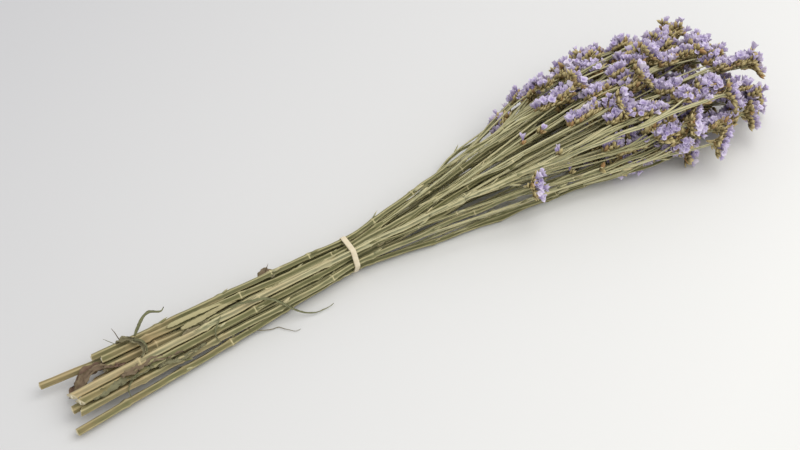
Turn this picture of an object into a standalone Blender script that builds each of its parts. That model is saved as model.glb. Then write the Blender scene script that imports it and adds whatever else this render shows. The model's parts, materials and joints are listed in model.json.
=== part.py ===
"""A bunch of dried statice lying on its side, held by one flat elastic band.

Metres, +Z up. The bunch lies along X, from the cut stem ends at -X to the flowers at +X.
The origin is on the surface the bunch lies on, under the middle of the band.
"""

import math

import bmesh
import bpy
import numpy as np
from mathutils import Matrix, Vector

MM = 0.001
SEED = 11

# The bunch as a whole: its middle line and its half width and half height, from the cuts to the tips.
ENVELOPE_X = np.array([-265, -200, -100, 0, 30, 70, 115, 150, 200, 250, 300, 350, 400]) * MM
MIDDLE_Y = np.array([-19, -12, -4, 0, 4, 8, 12, 14, 14, 13, 11, 3, -16]) * MM
HALF_WIDTH = np.array([32, 29, 21, 14, 20, 30, 40, 46, 53, 57, 59, 54, 38]) * MM
MIDDLE_Z = np.array([15, 15, 14, 13, 15, 19, 25, 29, 33, 36, 37, 36, 32]) * MM
HALF_HEIGHT = np.array([13, 13, 12, 10, 13, 17, 23, 26, 29, 30, 30, 28, 22]) * MM

# Stems and branches.
STEMS = 16
CUT_X = (-260 * MM, -212 * MM)  # where stems are cut, on the near side and on the far side
CUT_SPREAD = 12 * MM
LONG_STEM = 15  # one far stem that is as long as the near ones
LONG_STEM_CUT = np.array([0.75, 0.1])  # where its cut is, as shares of the half width and half height
STEM_RADIUS = (3.1 * MM, 2.5 * MM, 1.4 * MM)  # at the cut, at the band and at the tip
BRANCH_RADIUS = (1.5 * MM, 1.1 * MM)
WING_VALLEY = 0.86  # the stem's radius between its wings, as a share of the radius over them
CONTROL_SPACING = 44 * MM

# Flower heads.
HEADS = 42
HEAD_RADIUS = (12.8 * MM, 16.0 * MM)
FIRST_HEAD_X = (285 * MM, 190 * MM)  # where heads begin, on the near side and on the far side
LAST_HEAD_X = (356 * MM, 389 * MM, 338 * MM)  # where they end: near side, middle, far side
HEADS_A_STEM = 3
HEAD_CHOICES = 300
BRANCH_START_X = (15 * MM, 105 * MM)
STRAY_HEAD = (-27 * MM, 47 * MM, 152 * MM, 11 * MM)  # y, z, x and radius of one low head
BRACT_RADIUS = 0.84  # of the head's radius
CORE_RADIUS = 0.40  # of the head's radius, as are the core's height and the florets' reach
CORE_HEIGHT = 0.34
FLORET_REACH = 0.93
FLORET_RIM = 0.40  # a floret's rim radius, as a share of its length
FLORET_DIP = 0.66  # how far out the middle of a floret's mouth is, as a share of its length
POLAR_SQUEEZE = 0.76  # turns the florets of a whole ball up into a dome

# Dried leaf remains. Each is a strip that grows out of the outermost stem on one side of the bunch: where
# along X, which way it leaves (degrees, 0 is +Y and 90 is up), its width, and its path as millimetres along X,
# outward and to the left of outward, after the point it leaves from.
LEAF_THICKNESS = 0.8 * MM
LEAVES = (
    (-58, 215, 3.2, ((0, 0, 0), (10, 5, 1), (18, 12, 5), (24, 17, 12), (33, 18, 17), (42, 16, 22))),
    (-72, 205, 1.8, ((0, 0, 0), (6, 5, 0), (12, 10, 3), (17, 14, 1), (22, 17, 6), (30, 18, 5))),
    (-176, 60, 3.6, ((0, 0, 0), (-6, 6, 2), (-4, 13, 5), (5, 16, 7), (12, 11, 8), (20, 8, 6))),
    (-222, 110, 9.0, ((0, 0, 0), (-7, 6, 0), (-15, 8, -2), (-22, 12, 1), (-30, 11, 4), (-36, 7, 6))),
    (-205, 75, 2.6, ((0, 0, 0), (-4, 5, 1), (-9, 10, 2), (-10, 15, 3))),
)

# The band.
BAND_WIDTH = 4.5 * MM
BAND_THICKNESS = 1.1 * MM
BAND_POINTS = 28

# Clearances between separate pieces.
GAP = 0.35 * MM
LAYOUT_GAP = 0.5 * MM

STEP = 5 * MM
RELAX_ROUNDS = 720
SAG = 0.025 * MM  # how far a strand sinks in one round, until the last quarter of the rounds
SQUEEZE = 0.02  # how much of its way to the middle of the band a stem moves in one round
FORK_LENGTH = 48 * MM


class Strand:
    """One stem or branch as a line of control points, with the head that ends it."""

    def __init__(self, stem, parent, start, end, tip_uv, head_radius):
        self.stem = stem
        self.parent = parent
        self.start = start
        self.end = end
        self.tip_uv = tip_uv
        self.head_radius = head_radius
        self.x = self.control_stations()
        self.yz = None
        self.target = None

    def control_stations(self):
        """X of the control points, evenly spaced, with one at the band on a whole stem."""
        breaks = [self.start, 0.0, self.end] if self.parent is None else [self.start, self.end]
        runs = []
        for low, high in zip(breaks, breaks[1:]):
            count = max(2, round((high - low) / CONTROL_SPACING))
            runs.append(np.linspace(low, high, count + 1)[:-1])
        return np.append(np.concatenate(runs), self.end)

    def radius_at(self, x):
        """The stem's own radius, over its wings."""
        if self.parent is None:
            return np.interp(x, [self.start, 0.0, self.end], STEM_RADIUS)
        return np.interp(x, [self.start, self.end], BRANCH_RADIUS)

    def point(self, index):
        return Vector((self.x[index], *self.yz[index]))

    def tangent(self):
        return (self.point(-1) - self.point(-2)).normalized()


def place(u, v, x):
    """Y and Z of a point given as shares (u, v) of the bunch's half width and half height."""
    y = np.interp(x, ENVELOPE_X, MIDDLE_Y) + u * np.interp(x, ENVELOPE_X, HALF_WIDTH)
    z = np.interp(x, ENVELOPE_X, MIDDLE_Z) + v * np.interp(x, ENVELOPE_X, HALF_HEIGHT)
    return np.stack([y, z], axis=-1)


def ease(t):
    t = np.clip(t, 0.0, 1.0)
    return t * t * (3 - 2 * t)


def turned(uv, angle):
    c, s = math.cos(angle), math.sin(angle)
    return np.array([uv[0] * c - uv[1] * s, uv[0] * s + uv[1] * c])


def head_range(u):
    """The first and last X at which a head may sit at this place across the bunch."""
    return np.interp(u, [-1, 1], FIRST_HEAD_X), np.interp(u, [-1, 0, 1], LAST_HEAD_X)


def scatter_heads(random):
    """Places for the heads, as (x, u, v), each as far from those before it as a few hundred tries find."""
    chosen, spots = [], np.empty((0, 3))
    for _ in range(HEADS):
        uv = random.uniform(-1, 1, (HEAD_CHOICES, 2))
        uv = uv[np.linalg.norm(uv, axis=1) <= 1] * 0.88
        first, last = head_range(uv[:, 0])
        x = first + (last - first) * random.uniform(0, 1, len(uv))
        tries = np.column_stack([x, place(uv[:, 0], uv[:, 1], x)])
        nearest = np.linalg.norm(tries[:, None] - spots[None], axis=2).min(axis=1, initial=1.0)
        best = int(np.argmax(nearest))
        chosen.append((x[best], *uv[best]))
        spots = np.vstack([spots, tries[best]])
    return sorted(chosen, reverse=True)


def grow_strands(random):
    """The stems and their branches, each on the line it would take if nothing were in its way."""
    strands = []
    places = scatter_heads(random)
    for stem, (end, *home) in enumerate(places[:STEMS]):
        tie = turned(home, random.uniform(-0.6, 0.6))
        cut = turned(tie, random.uniform(-0.8, 0.8))
        start = np.interp(cut[0], [-0.7, 0.7], CUT_X) + random.uniform(0, CUT_SPREAD)
        if stem == LONG_STEM:
            start, cut = CUT_X[0], LONG_STEM_CUT
        main = Strand(stem, None, start, end, np.array(home), random.uniform(*HEAD_RADIUS))
        blend_out = ease(main.x / (150 * MM))[:, None]
        blend_in = ease(main.x / CUT_X[0])[:, None]
        uv = np.array(home) * blend_out + tie * (1 - blend_out) * (1 - blend_in) + cut * blend_in
        main.target = place(uv[:, 0], uv[:, 1], main.x)
        strands.append(main)
    for end, *home in places[STEMS:]:
        open_stems = [i for i in range(STEMS) if sum(s.stem == i for s in strands) < HEADS_A_STEM]
        nearest = min(open_stems, key=lambda i: np.linalg.norm(np.subtract(strands[i].tip_uv, home)))
        start = random.uniform(*BRANCH_START_X)
        add_branch(strands, nearest, start, end, home, random.uniform(*HEAD_RADIUS))
    y, z, end, radius = STRAY_HEAD
    low_near = min(range(STEMS), key=lambda i: np.linalg.norm(np.subtract(strands[i].tip_uv, (-0.6, 0.5))))
    add_branch(strands, low_near, end - 145 * MM, end, None, radius, goal=np.array([y, z]))
    for strand in strands:
        strand.yz = strand.target.copy()
    return strands


def add_branch(strands, main_index, start, end, tip_uv, radius, goal=None):
    """A branch that leaves its stem at start and ends in a head at end."""
    main = strands[main_index]
    branch = Strand(main.stem, main_index, start, end, tip_uv, radius)
    on_stem = np.stack([np.interp(branch.x, main.x, main.target[:, i]) for i in (0, 1)], axis=1)
    leaving = ease((branch.x - start) / (end - start))[:, None]
    wanted = place(tip_uv[0], tip_uv[1], branch.x) if goal is None else goal
    branch.target = on_stem * (1 - leaving) + wanted * leaving
    strands.append(branch)


class Sampling:
    """The strands cut by planes across the bunch: a disc for each strand in each plane."""

    def __init__(self, strands):
        first = min(s.start for s in strands)
        last = max(s.end + s.head_radius for s in strands)
        self.x = np.arange(first, last + STEP, STEP)
        self.weights, self.radius, self.present = [], [], []
        for s in strands:
            inside = (self.x >= s.start) & (self.x <= s.end + s.head_radius)
            weights = np.stack([np.interp(self.x, s.x, row) for row in np.eye(len(s.x))], axis=1)
            reach = np.maximum(s.head_radius**2 - (self.x - s.end) ** 2, 0) ** 0.5
            stem = np.where(self.x <= s.end, s.radius_at(self.x), 0)
            self.weights.append(weights * inside[:, None])
            self.radius.append(np.maximum(stem, reach) * inside)
            self.present.append(inside)
        self.radius = np.array(self.radius)
        self.present = np.array(self.present)
        self.first, self.second = np.triu_indices(len(strands), 1)
        both = self.present[self.first] & self.present[self.second]
        for row, (a, b) in enumerate(zip(self.first, self.second)):
            if strands[b].parent == a:
                both[row] &= self.x > strands[b].start + FORK_LENGTH
        self.both = both
        self.needed = self.radius[self.first] + self.radius[self.second] + LAYOUT_GAP

    def places(self, strands):
        return np.array([w @ s.yz for w, s in zip(self.weights, strands)])

    def pushes(self, places):
        """How far each disc has to move so that no two overlap and none is under the floor or outside the band."""
        apart = places[self.first] - places[self.second]
        distance = np.maximum(np.linalg.norm(apart, axis=2), 1e-9)
        overlap = np.where(self.both, np.maximum(self.needed - distance, 0), 0)
        push = apart * (overlap / distance / 2)[:, :, None]
        total, count = np.zeros_like(places), np.zeros(places.shape[:2])
        np.add.at(total, self.first, push)
        np.add.at(total, self.second, -push)
        np.add.at(count, self.first, overlap > 0)
        np.add.at(count, self.second, overlap > 0)
        lowest = self.radius + np.where(np.abs(self.x) < 10 * MM, BAND_THICKNESS + GAP, 0)
        sunk = np.where(self.present, np.maximum(lowest - places[:, :, 1], 0), 0)
        total[:, :, 1] += sunk
        count += sunk > 0
        return total / np.maximum(count, 1)[:, :, None], overlap.max()


def relax(strands):
    """Moves the control points until the bunch lies on the surface and no strand or head runs through another."""
    sampling = Sampling(strands)
    for turn in range(RELAX_ROUNDS):
        slack = max(0.0, 1 - turn / (RELAX_ROUNDS * 0.6))
        settling = turn < RELAX_ROUNDS * 0.75
        push, _ = sampling.pushes(sampling.places(strands))
        for s, w, moved in zip(strands, sampling.weights, push):
            hit = (np.abs(moved).sum(axis=1) > 0).astype(float)
            s.yz += 1.2 * (w.T @ moved) / np.maximum(w.T @ hit, 0.35)[:, None]
            s.yz += 0.05 * slack * (s.target - s.yz)
            s.yz[1:-1] += (0.16 * slack + 0.02 * settling) * ((s.yz[:-2] + s.yz[2:]) / 2 - s.yz[1:-1])
            s.yz[:, 1] -= SAG * settling
            if s.parent is None:
                tied = int(np.argmin(np.abs(s.x)))
                s.yz[tied] += SQUEEZE * settling * (place(0, 0, 0.0) - s.yz[tied])
            else:
                main = strands[s.parent]
                s.yz[0] = [np.interp(s.start, main.x, main.yz[:, i]) for i in (0, 1)]
    overlap = sampling.pushes(sampling.places(strands))[1]
    if overlap > LAYOUT_GAP - GAP:
        raise RuntimeError(f"strands still overlap by {overlap / MM:.2f} mm")


def new_mesh_object(name, bm):
    """A mesh object made from a bmesh."""
    mesh = bpy.data.meshes.new(name)
    bm.to_mesh(mesh)
    bm.free()
    made = bpy.data.objects.new(name, mesh)
    bpy.context.scene.collection.objects.link(made)
    return made


def meshed(obj, turn_out=False):
    """The object with its modifiers or its curve bevel turned into a plain welded mesh."""
    bpy.context.view_layer.update()
    graph = bpy.context.evaluated_depsgraph_get()
    mesh = bpy.data.meshes.new_from_object(obj.evaluated_get(graph))
    bm = bmesh.new()
    bm.from_mesh(mesh)
    bpy.data.meshes.remove(mesh)
    bmesh.ops.remove_doubles(bm, verts=bm.verts, dist=1e-6)
    if turn_out:
        bmesh.ops.recalc_face_normals(bm, faces=bm.faces)
    made = new_mesh_object(obj.name + "_mesh", bm)
    made.matrix_world = obj.matrix_world
    bpy.data.objects.remove(obj)
    return made


def star_profile(sides, valley):
    """A closed outline whose points lie on the unit circle and, between them, at the valley's radius."""
    curve = bpy.data.curves.new("stem_profile", "CURVE")
    spline = curve.splines.new("POLY")
    spline.points.add(sides - 1)
    for i, point in enumerate(spline.points):
        angle = 2 * math.pi * i / sides
        radius = 1.0 if i % 2 == 0 else valley
        point.co = (radius * math.cos(angle), radius * math.sin(angle), 0, 1)
    spline.use_cyclic_u = True
    profile = bpy.data.objects.new("stem_profile", curve)
    bpy.context.scene.collection.objects.link(profile)
    profile.hide_render = True
    return profile


def tube(name, points, radii, profile):
    """A rod of the profile's section along the points."""
    curve = bpy.data.curves.new(name, "CURVE")
    curve.dimensions = "3D"
    curve.bevel_mode = "OBJECT"
    curve.bevel_object = profile
    curve.use_fill_caps = True
    spline = curve.splines.new("POLY")
    spline.points.add(len(points) - 1)
    for point, co, radius in zip(spline.points, points, radii):
        point.co = (*co, 1)
        point.radius = radius
    rod = bpy.data.objects.new(name, curve)
    bpy.context.scene.collection.objects.link(rod)
    return meshed(rod, turn_out=True)


def joined(name, base, pieces, material, collection):
    """One closed solid from a piece and those that grow from it."""
    group = bpy.data.collections.new(name + "_pieces")
    bpy.context.scene.collection.children.link(group)
    for piece in pieces:
        bpy.context.scene.collection.objects.unlink(piece)
        group.objects.link(piece)
    union = base.modifiers.new("grown_together", "BOOLEAN")
    union.operation = "UNION"
    union.operand_type = "COLLECTION"
    union.solver = "MANIFOLD"
    union.collection = group
    solid = meshed(base)
    for vertex in solid.data.vertices:
        vertex.co.z = max(vertex.co.z, 0.0)
    for piece in list(group.objects):
        bpy.data.objects.remove(piece)
    bpy.data.collections.remove(group)
    solid.name = solid.data.name = name
    finish(solid, material, collection)
    return solid


def finish(obj, material, collection):
    obj.data.materials.append(material)
    for holder in list(obj.users_collection):
        holder.objects.unlink(obj)
    collection.objects.link(obj)


def material(name, colour, roughness):
    made = bpy.data.materials.new(name)
    made.use_nodes = True
    shader = made.node_tree.nodes["Principled BSDF"]
    shader.inputs["Base Color"].default_value = (*colour, 1)
    shader.inputs["Roughness"].default_value = roughness
    shader.inputs["Metallic"].default_value = 0.0
    return made


def head_axis(strand, random):
    """The way a head faces: along its branch, leaning out of the bunch and a little up."""
    tip = strand.point(-1)
    middle = Vector((strand.end, *place(0, 0, strand.end)))
    outward = (tip - middle) / (40 * MM)
    lean = Vector((0, outward.y * 0.55, outward.z * 0.35 + 0.25))
    jitter = Vector([random.uniform(-0.2, 0.2) for _ in range(3)])
    return (strand.tangent() + lean + jitter).normalized()


def head_frame(strand, axis):
    """From the head's own frame, +Z along its axis, to the bunch's."""
    return Matrix.Translation(strand.point(-1)) @ axis.to_track_quat("Z", "Y").to_matrix().to_4x4()


def bract_cup(strand, frame):
    """The rosette of brown bracts under a head, down to a point on the branch."""
    bm = bmesh.new()
    depth = 0.62 * strand.head_radius
    bmesh.ops.create_cone(bm, cap_ends=True, cap_tris=False, segments=10, radius1=0.9 * MM,
                          radius2=BRACT_RADIUS * strand.head_radius, depth=depth)
    rim = sorted((v for v in bm.verts if v.co.z > 0), key=lambda v: math.atan2(v.co.y, v.co.x))
    for i, vertex in enumerate(rim):
        if i % 2:
            vertex.co.x *= 0.62
            vertex.co.y *= 0.62
    bmesh.ops.translate(bm, verts=bm.verts, vec=(0, 0, -depth / 2 - GAP / 2))
    bmesh.ops.transform(bm, matrix=frame, verts=bm.verts)
    return new_mesh_object("bract_cup", bm)


def raise_floret(bm, centre, middle, radius, random):
    """Draws one papery funnel out of the five faces round a vertex: five crinkled lobes with a dip between them."""
    outward = (centre.co - middle).normalized()
    across = math.sqrt(max(0.0, 1 - outward.z**2)) * middle.z
    length = math.sqrt((FLORET_REACH * radius) ** 2 - across**2) - middle.z * outward.z
    seat = list(centre.link_faces)
    drawn = bmesh.ops.extrude_face_region(bm, geom=seat)["geom"]
    bmesh.ops.delete(bm, geom=seat, context="FACES")
    for vertex in (v for v in drawn if isinstance(v, bmesh.types.BMVert)):
        offset = vertex.co - middle
        offset -= outward * offset.dot(outward)
        if all(face in drawn for face in vertex.link_faces):
            vertex.co = middle + outward * length * FLORET_DIP
        else:
            lobe = offset.normalized() * FLORET_RIM * length * random.uniform(0.86, 1.1)
            vertex.co = middle + outward * length * random.uniform(0.93, 1.04) + lobe


def build_head(strand, frame, name, paint, collection, random):
    """The lavender dome of a head: eleven florets raised from a small core that sits on the bracts."""
    radius = strand.head_radius
    middle = Vector((0, 0, CORE_HEIGHT * radius))
    bm = bmesh.new()
    bmesh.ops.create_icosphere(bm, subdivisions=2, radius=CORE_RADIUS * radius)
    for vertex in bm.verts:
        polar = math.acos(max(-1.0, min(1.0, vertex.co.normalized().z))) * POLAR_SQUEEZE
        flat = Vector((vertex.co.x, vertex.co.y, 0))
        side = flat.normalized() if flat.length > 1e-9 else flat
        vertex.co = middle + (side * math.sin(polar) + Vector((0, 0, math.cos(polar)))) * CORE_RADIUS * radius
    lowest = min(bm.verts, key=lambda v: v.co.z)
    lowest.co.z = GAP / 2
    buds = [v for v in bm.verts if len(v.link_faces) == 5 and v is not lowest]
    for bud in buds:
        raise_floret(bm, bud, middle, radius, random)
    for vertex in bm.verts:
        vertex.co.z = max(vertex.co.z, GAP / 2)
        vertex.co *= min(1.0, radius / vertex.co.length)
        vertex.co = frame @ vertex.co
        vertex.co.z = max(vertex.co.z, 0.0)
    head = new_mesh_object(name, bm)
    finish(head, paint, collection)
    return head


def build_band(strands, paint, collection):
    """The elastic band: the tight outline round all the stems where x = 0, flat where it lies on the surface."""
    crossing = [s for s in strands if s.start < -BAND_WIDTH and s.end > BAND_WIDTH]
    half = BAND_WIDTH / 2
    discs = [(np.interp(x, s.x, s.yz[:, 0]), np.interp(x, s.x, s.yz[:, 1]), float(s.radius_at(0.0)))
             for s in crossing for x in (-half, half)]
    angles = np.arange(BAND_POINTS) * 2 * math.pi / BAND_POINTS
    normals = np.stack([np.cos(angles), np.sin(angles)], axis=1)
    reach = np.array([max(n @ np.array(d[:2]) + d[2] for d in discs) for n in normals]) + GAP
    bm = bmesh.new()
    ring = []
    for i, n in enumerate(normals):
        after = (i + 1) % BAND_POINTS
        corner = np.linalg.solve(np.stack([n, normals[after]]), np.array([reach[i], reach[after]]))
        underneath = n[1] + normals[after][1] < -1.7
        ring.append(bm.verts.new((-half, corner[0], BAND_THICKNESS if underneath else corner[1])))
    edges = [bm.edges.new((ring[i], ring[(i + 1) % BAND_POINTS])) for i in range(BAND_POINTS)]
    swept = bmesh.ops.extrude_edge_only(bm, edges=edges)["geom"]
    bmesh.ops.translate(bm, verts=[v for v in swept if isinstance(v, bmesh.types.BMVert)], vec=(BAND_WIDTH, 0, 0))
    bmesh.ops.recalc_face_normals(bm, faces=bm.faces)
    band = new_mesh_object("band_strip", bm)
    wall = band.modifiers.new("wall", "SOLIDIFY")
    wall.thickness = BAND_THICKNESS
    wall.offset = 1
    wall.use_even_offset = True
    solid = meshed(band)
    solid.name = solid.data.name = "elastic_band"
    finish(solid, paint, collection)
    return solid


def leaf_strips(strands, profile):
    """The leaf remains, as pairs of the stem that carries one and its strip."""
    strips = []
    for along, degrees, width, path in LEAVES:
        x = along * MM
        across = [s for s in strands if s.start < x < s.end]
        out = np.array([math.cos(math.radians(degrees)), math.sin(math.radians(degrees))])
        middles = [np.array([np.interp(x, s.x, s.yz[:, i]) for i in (0, 1)]) for s in across]
        outermost = max(range(len(across)), key=lambda i: out @ middles[i] + across[i].radius_at(x))
        y, z = middles[outermost]
        left = (-out[1], out[0])
        points = [(x + a * MM, y + (o * out[0] + l * left[0]) * MM, z + (o * out[1] + l * left[1]) * MM)
                  for a, o, l in path]
        points = [Vector((a, b, max(c, 2.2 * MM))) for a, b, c in points]
        widths = np.interp(np.linspace(0, 1, len(points)), [0, 0.3, 1], [0.5, 1.0, 0.35]) * width * MM
        strips.append((across[outermost].stem, tube("leaf", points, widths, profile)))
    return strips


def build_stem(number, strands, frames, leaves, profiles, paint, collection):
    """One stem with its branches, the bracts under each of its heads and any leaf it still has."""
    members = [s for s in strands if s.stem == number]
    pieces = []
    for s in members:
        points = [s.point(i) for i in range(len(s.x))]
        points[-1] = points[-1] - s.tangent() * 1.2 * MM
        radii = [float(s.radius_at(x)) for x in s.x]
        profile = profiles["stem"] if s.parent is None else profiles["branch"]
        pieces.append(tube(f"rod_{number:02d}", points, radii, profile))
        pieces.append(bract_cup(s, frames[s]))
    pieces += [strip for stem, strip in leaves if stem == number]
    return joined(f"stem_{number + 1:02d}", pieces[0], pieces[1:], paint, collection)


def clear_scene():
    for obj in list(bpy.data.objects):
        bpy.data.objects.remove(obj)


def main():
    clear_scene()
    random = np.random.default_rng(SEED)
    strands = grow_strands(random)
    relax(strands)
    collection = bpy.data.collections.new("dried_statice_bunch")
    bpy.context.scene.collection.children.link(collection)
    green = material("dried_stem", (0.42, 0.41, 0.24), 0.75)
    lavender = material("dried_floret", (0.52, 0.46, 0.74), 0.85)
    cream = material("elastic", (0.83, 0.74, 0.60), 0.55)
    profiles = {"stem": star_profile(6, WING_VALLEY), "branch": star_profile(4, 1.0)}
    leaves = leaf_strips(strands, star_profile(4, LEAF_THICKNESS / (6 * MM)))
    frames = {s: head_frame(s, head_axis(s, random)) for s in strands}
    for number in range(STEMS):
        build_stem(number, strands, frames, leaves, profiles, green, collection)
    for count, s in enumerate(strands, start=1):
        build_head(s, frames[s], f"head_{count:02d}", lavender, collection, random)
    build_band(strands, cream, collection)


main()
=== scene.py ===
"""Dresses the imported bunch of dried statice: winged stems, bracts, papery florets, dried leaves and the band.

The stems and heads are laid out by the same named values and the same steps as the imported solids, so each
finer piece lies where the solid it stands for lies. Metres, +X towards the flowers, +Z up.
"""

import json
import logging
import math
from collections.abc import Iterable, Sequence
from dataclasses import dataclass, field
from enum import Enum

import bmesh
import bpy
import numpy as np
from mathutils import Matrix, Vector

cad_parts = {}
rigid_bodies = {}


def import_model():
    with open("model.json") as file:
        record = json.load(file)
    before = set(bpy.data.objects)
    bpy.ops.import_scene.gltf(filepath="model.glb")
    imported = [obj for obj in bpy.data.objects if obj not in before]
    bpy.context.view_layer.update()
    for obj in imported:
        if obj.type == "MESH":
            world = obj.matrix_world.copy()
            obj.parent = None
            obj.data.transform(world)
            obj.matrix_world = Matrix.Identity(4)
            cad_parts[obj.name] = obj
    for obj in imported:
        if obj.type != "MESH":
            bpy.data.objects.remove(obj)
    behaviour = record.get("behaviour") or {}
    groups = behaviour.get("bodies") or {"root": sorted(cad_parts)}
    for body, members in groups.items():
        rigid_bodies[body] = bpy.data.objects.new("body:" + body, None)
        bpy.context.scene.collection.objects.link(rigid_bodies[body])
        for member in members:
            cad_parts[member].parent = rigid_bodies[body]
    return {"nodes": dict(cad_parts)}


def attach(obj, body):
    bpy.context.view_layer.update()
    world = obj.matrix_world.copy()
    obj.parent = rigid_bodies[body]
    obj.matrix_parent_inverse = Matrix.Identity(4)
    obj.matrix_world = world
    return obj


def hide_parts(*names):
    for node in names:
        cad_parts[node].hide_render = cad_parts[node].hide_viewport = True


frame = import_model()

log = logging.getLogger("dried_statice")
MM = 0.001
FLOOR_GAP = 0.1 * MM
Array = np.ndarray
Colour = tuple[float, float, float]
Place = tuple[float, float, float]


class Slot(Enum):
    """The record's material slots."""

    STEM = "dried_stem"
    FLORET = "dried_floret"
    BAND = "elastic"


@dataclass(frozen=True)
class Envelope:
    """The outline of the whole bunch in mm: its middle line, half width and half height from cuts to tips."""

    x: tuple[float, ...] = (-265, -200, -100, 0, 30, 70, 115, 150, 200, 250, 300, 350, 400)
    middle_y: tuple[float, ...] = (-19, -12, -4, 0, 4, 8, 12, 14, 14, 13, 11, 3, -16)
    half_width: tuple[float, ...] = (32, 29, 21, 14, 20, 30, 40, 46, 53, 57, 59, 54, 38)
    middle_z: tuple[float, ...] = (15, 15, 14, 13, 15, 19, 25, 29, 33, 36, 37, 36, 32)
    half_height: tuple[float, ...] = (13, 13, 12, 10, 13, 17, 23, 26, 29, 30, 30, 28, 22)

    def place(self, u: float | Array, v: float | Array, x: float | Array) -> Array:
        """Finds a point given as shares of the bunch's half width and half height.

        Args:
            u: The share of the half width, -1 on the near side.
            v: The share of the half height, 1 on top.
            x: Where along the bunch.

        Returns:
            Y and Z of the point or points, along the last axis.
        """
        rows = (self.middle_y, self.half_width, self.middle_z, self.half_height)
        at = np.array(self.x) * MM
        middle_y, half_width, middle_z, half_height = (np.interp(x, at, np.array(row) * MM) for row in rows)
        return np.stack([middle_y + u * half_width, middle_z + v * half_height], axis=-1)


def ease(t: Array) -> Array:
    """A smooth step from 0 to 1."""
    t = np.clip(t, 0.0, 1.0)
    return t * t * (3 - 2 * t)


def turned(uv: Sequence[float], angle: float) -> Array:
    """The point turned about the middle of the bunch."""
    c, s = math.cos(angle), math.sin(angle)
    return np.array([uv[0] * c - uv[1] * s, uv[0] * s + uv[1] * c])


@dataclass(eq=False)
class Strand:
    """One stem or branch as a line of control points, with the head that ends it."""

    stem: int
    parent: int | None
    start: float
    end: float
    tip_uv: Array | None
    head_radius: float
    x: Array = field(init=False)
    yz: Array = field(init=False)
    target: Array = field(init=False)

    SPACING = 44 * MM
    STEM_RADIUS = (3.1 * MM, 2.5 * MM, 1.4 * MM)
    BRANCH_RADIUS = (1.5 * MM, 1.1 * MM)

    def __post_init__(self) -> None:
        """Spaces the control points evenly, with one at the band on a whole stem."""
        breaks = [self.start, 0.0, self.end] if self.parent is None else [self.start, self.end]
        runs = []
        for low, high in zip(breaks, breaks[1:]):
            count = max(2, round((high - low) / self.SPACING))
            runs.append(np.linspace(low, high, count + 1)[:-1])
        self.x = np.append(np.concatenate(runs), self.end)

    def radius_at(self, x: float | Array) -> float | Array:
        """Finds the stem's own radius, over its wings.

        Args:
            x: Where along it.

        Returns:
            The radius or radii.
        """
        if self.parent is None:
            return np.interp(x, [self.start, 0.0, self.end], self.STEM_RADIUS)
        return np.interp(x, [self.start, self.end], self.BRANCH_RADIUS)

    def at(self, x: float) -> Vector:
        """The middle of the strand in the cross-plane at x."""
        return Vector((x, *(np.interp(x, self.x, self.yz[:, i]) for i in (0, 1))))

    def tangent(self) -> Vector:
        """The way the strand runs into its head."""
        last, before = (Vector((self.x[i], *self.yz[i])) for i in (-1, -2))
        return (last - before).normalized()


class Sampling:
    """The strands cut by planes across the bunch: a disc for each strand in each plane."""

    STEP = 5 * MM
    FORK_LENGTH = 48 * MM
    LAYOUT_GAP = 0.5 * MM
    BAND_REACH = 10 * MM
    BAND_CLEARANCE = 1.45 * MM

    def __init__(self, strands: list[Strand]) -> None:
        """Cuts the strands.

        Args:
            strands: The stems and branches, each a whole stem before its branches.
        """
        first = min(s.start for s in strands)
        last = max(s.end + s.head_radius for s in strands)
        self.x = np.arange(first, last + self.STEP, self.STEP)
        self.weights, radii, present = [], [], []
        for s in strands:
            inside = (self.x >= s.start) & (self.x <= s.end + s.head_radius)
            weights = np.stack([np.interp(self.x, s.x, row) for row in np.eye(len(s.x))], axis=1)
            reach = np.maximum(s.head_radius**2 - (self.x - s.end) ** 2, 0) ** 0.5
            stem = np.where(self.x <= s.end, s.radius_at(self.x), 0)
            self.weights.append(weights * inside[:, None])
            radii.append(np.maximum(stem, reach) * inside)
            present.append(inside)
        self.radius, self.present = np.array(radii), np.array(present)
        self.first, self.second = np.triu_indices(len(strands), 1)
        self.both = self.present[self.first] & self.present[self.second]
        for row, (a, b) in enumerate(zip(self.first, self.second)):
            if strands[b].parent == a:
                self.both[row] &= self.x > strands[b].start + self.FORK_LENGTH
        self.needed = self.radius[self.first] + self.radius[self.second] + self.LAYOUT_GAP
        strand = np.arange(len(strands))[:, None]
        self.is_first = (self.first == strand).astype(float)
        self.is_second = (self.second == strand).astype(float)

    def pushes(self, strands: list[Strand]) -> Array:
        """Finds how far each disc moves so that no two overlap and none is under the floor or in the band.

        Args:
            strands: The strands that were cut, where they lie now.

        Returns:
            The push on each disc, as strands by planes by (y, z).
        """
        places = np.array([w @ s.yz for w, s in zip(self.weights, strands)])
        apart = places[self.first] - places[self.second]
        distance = np.maximum(np.linalg.norm(apart, axis=2), 1e-9)
        overlap = np.where(self.both, np.maximum(self.needed - distance, 0), 0)
        push = apart * (overlap / distance / 2)[:, :, None]
        shape = places.shape
        total = ((self.is_first - self.is_second) @ push.reshape(len(push), -1)).reshape(shape)
        count = (self.is_first + self.is_second) @ (overlap > 0)
        lowest = self.radius + np.where(np.abs(self.x) < self.BAND_REACH, self.BAND_CLEARANCE, 0)
        sunk = np.where(self.present, np.maximum(lowest - places[:, :, 1], 0), 0)
        total[:, :, 1] += sunk
        count += sunk > 0
        return total / np.maximum(count, 1)[:, :, None]


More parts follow.
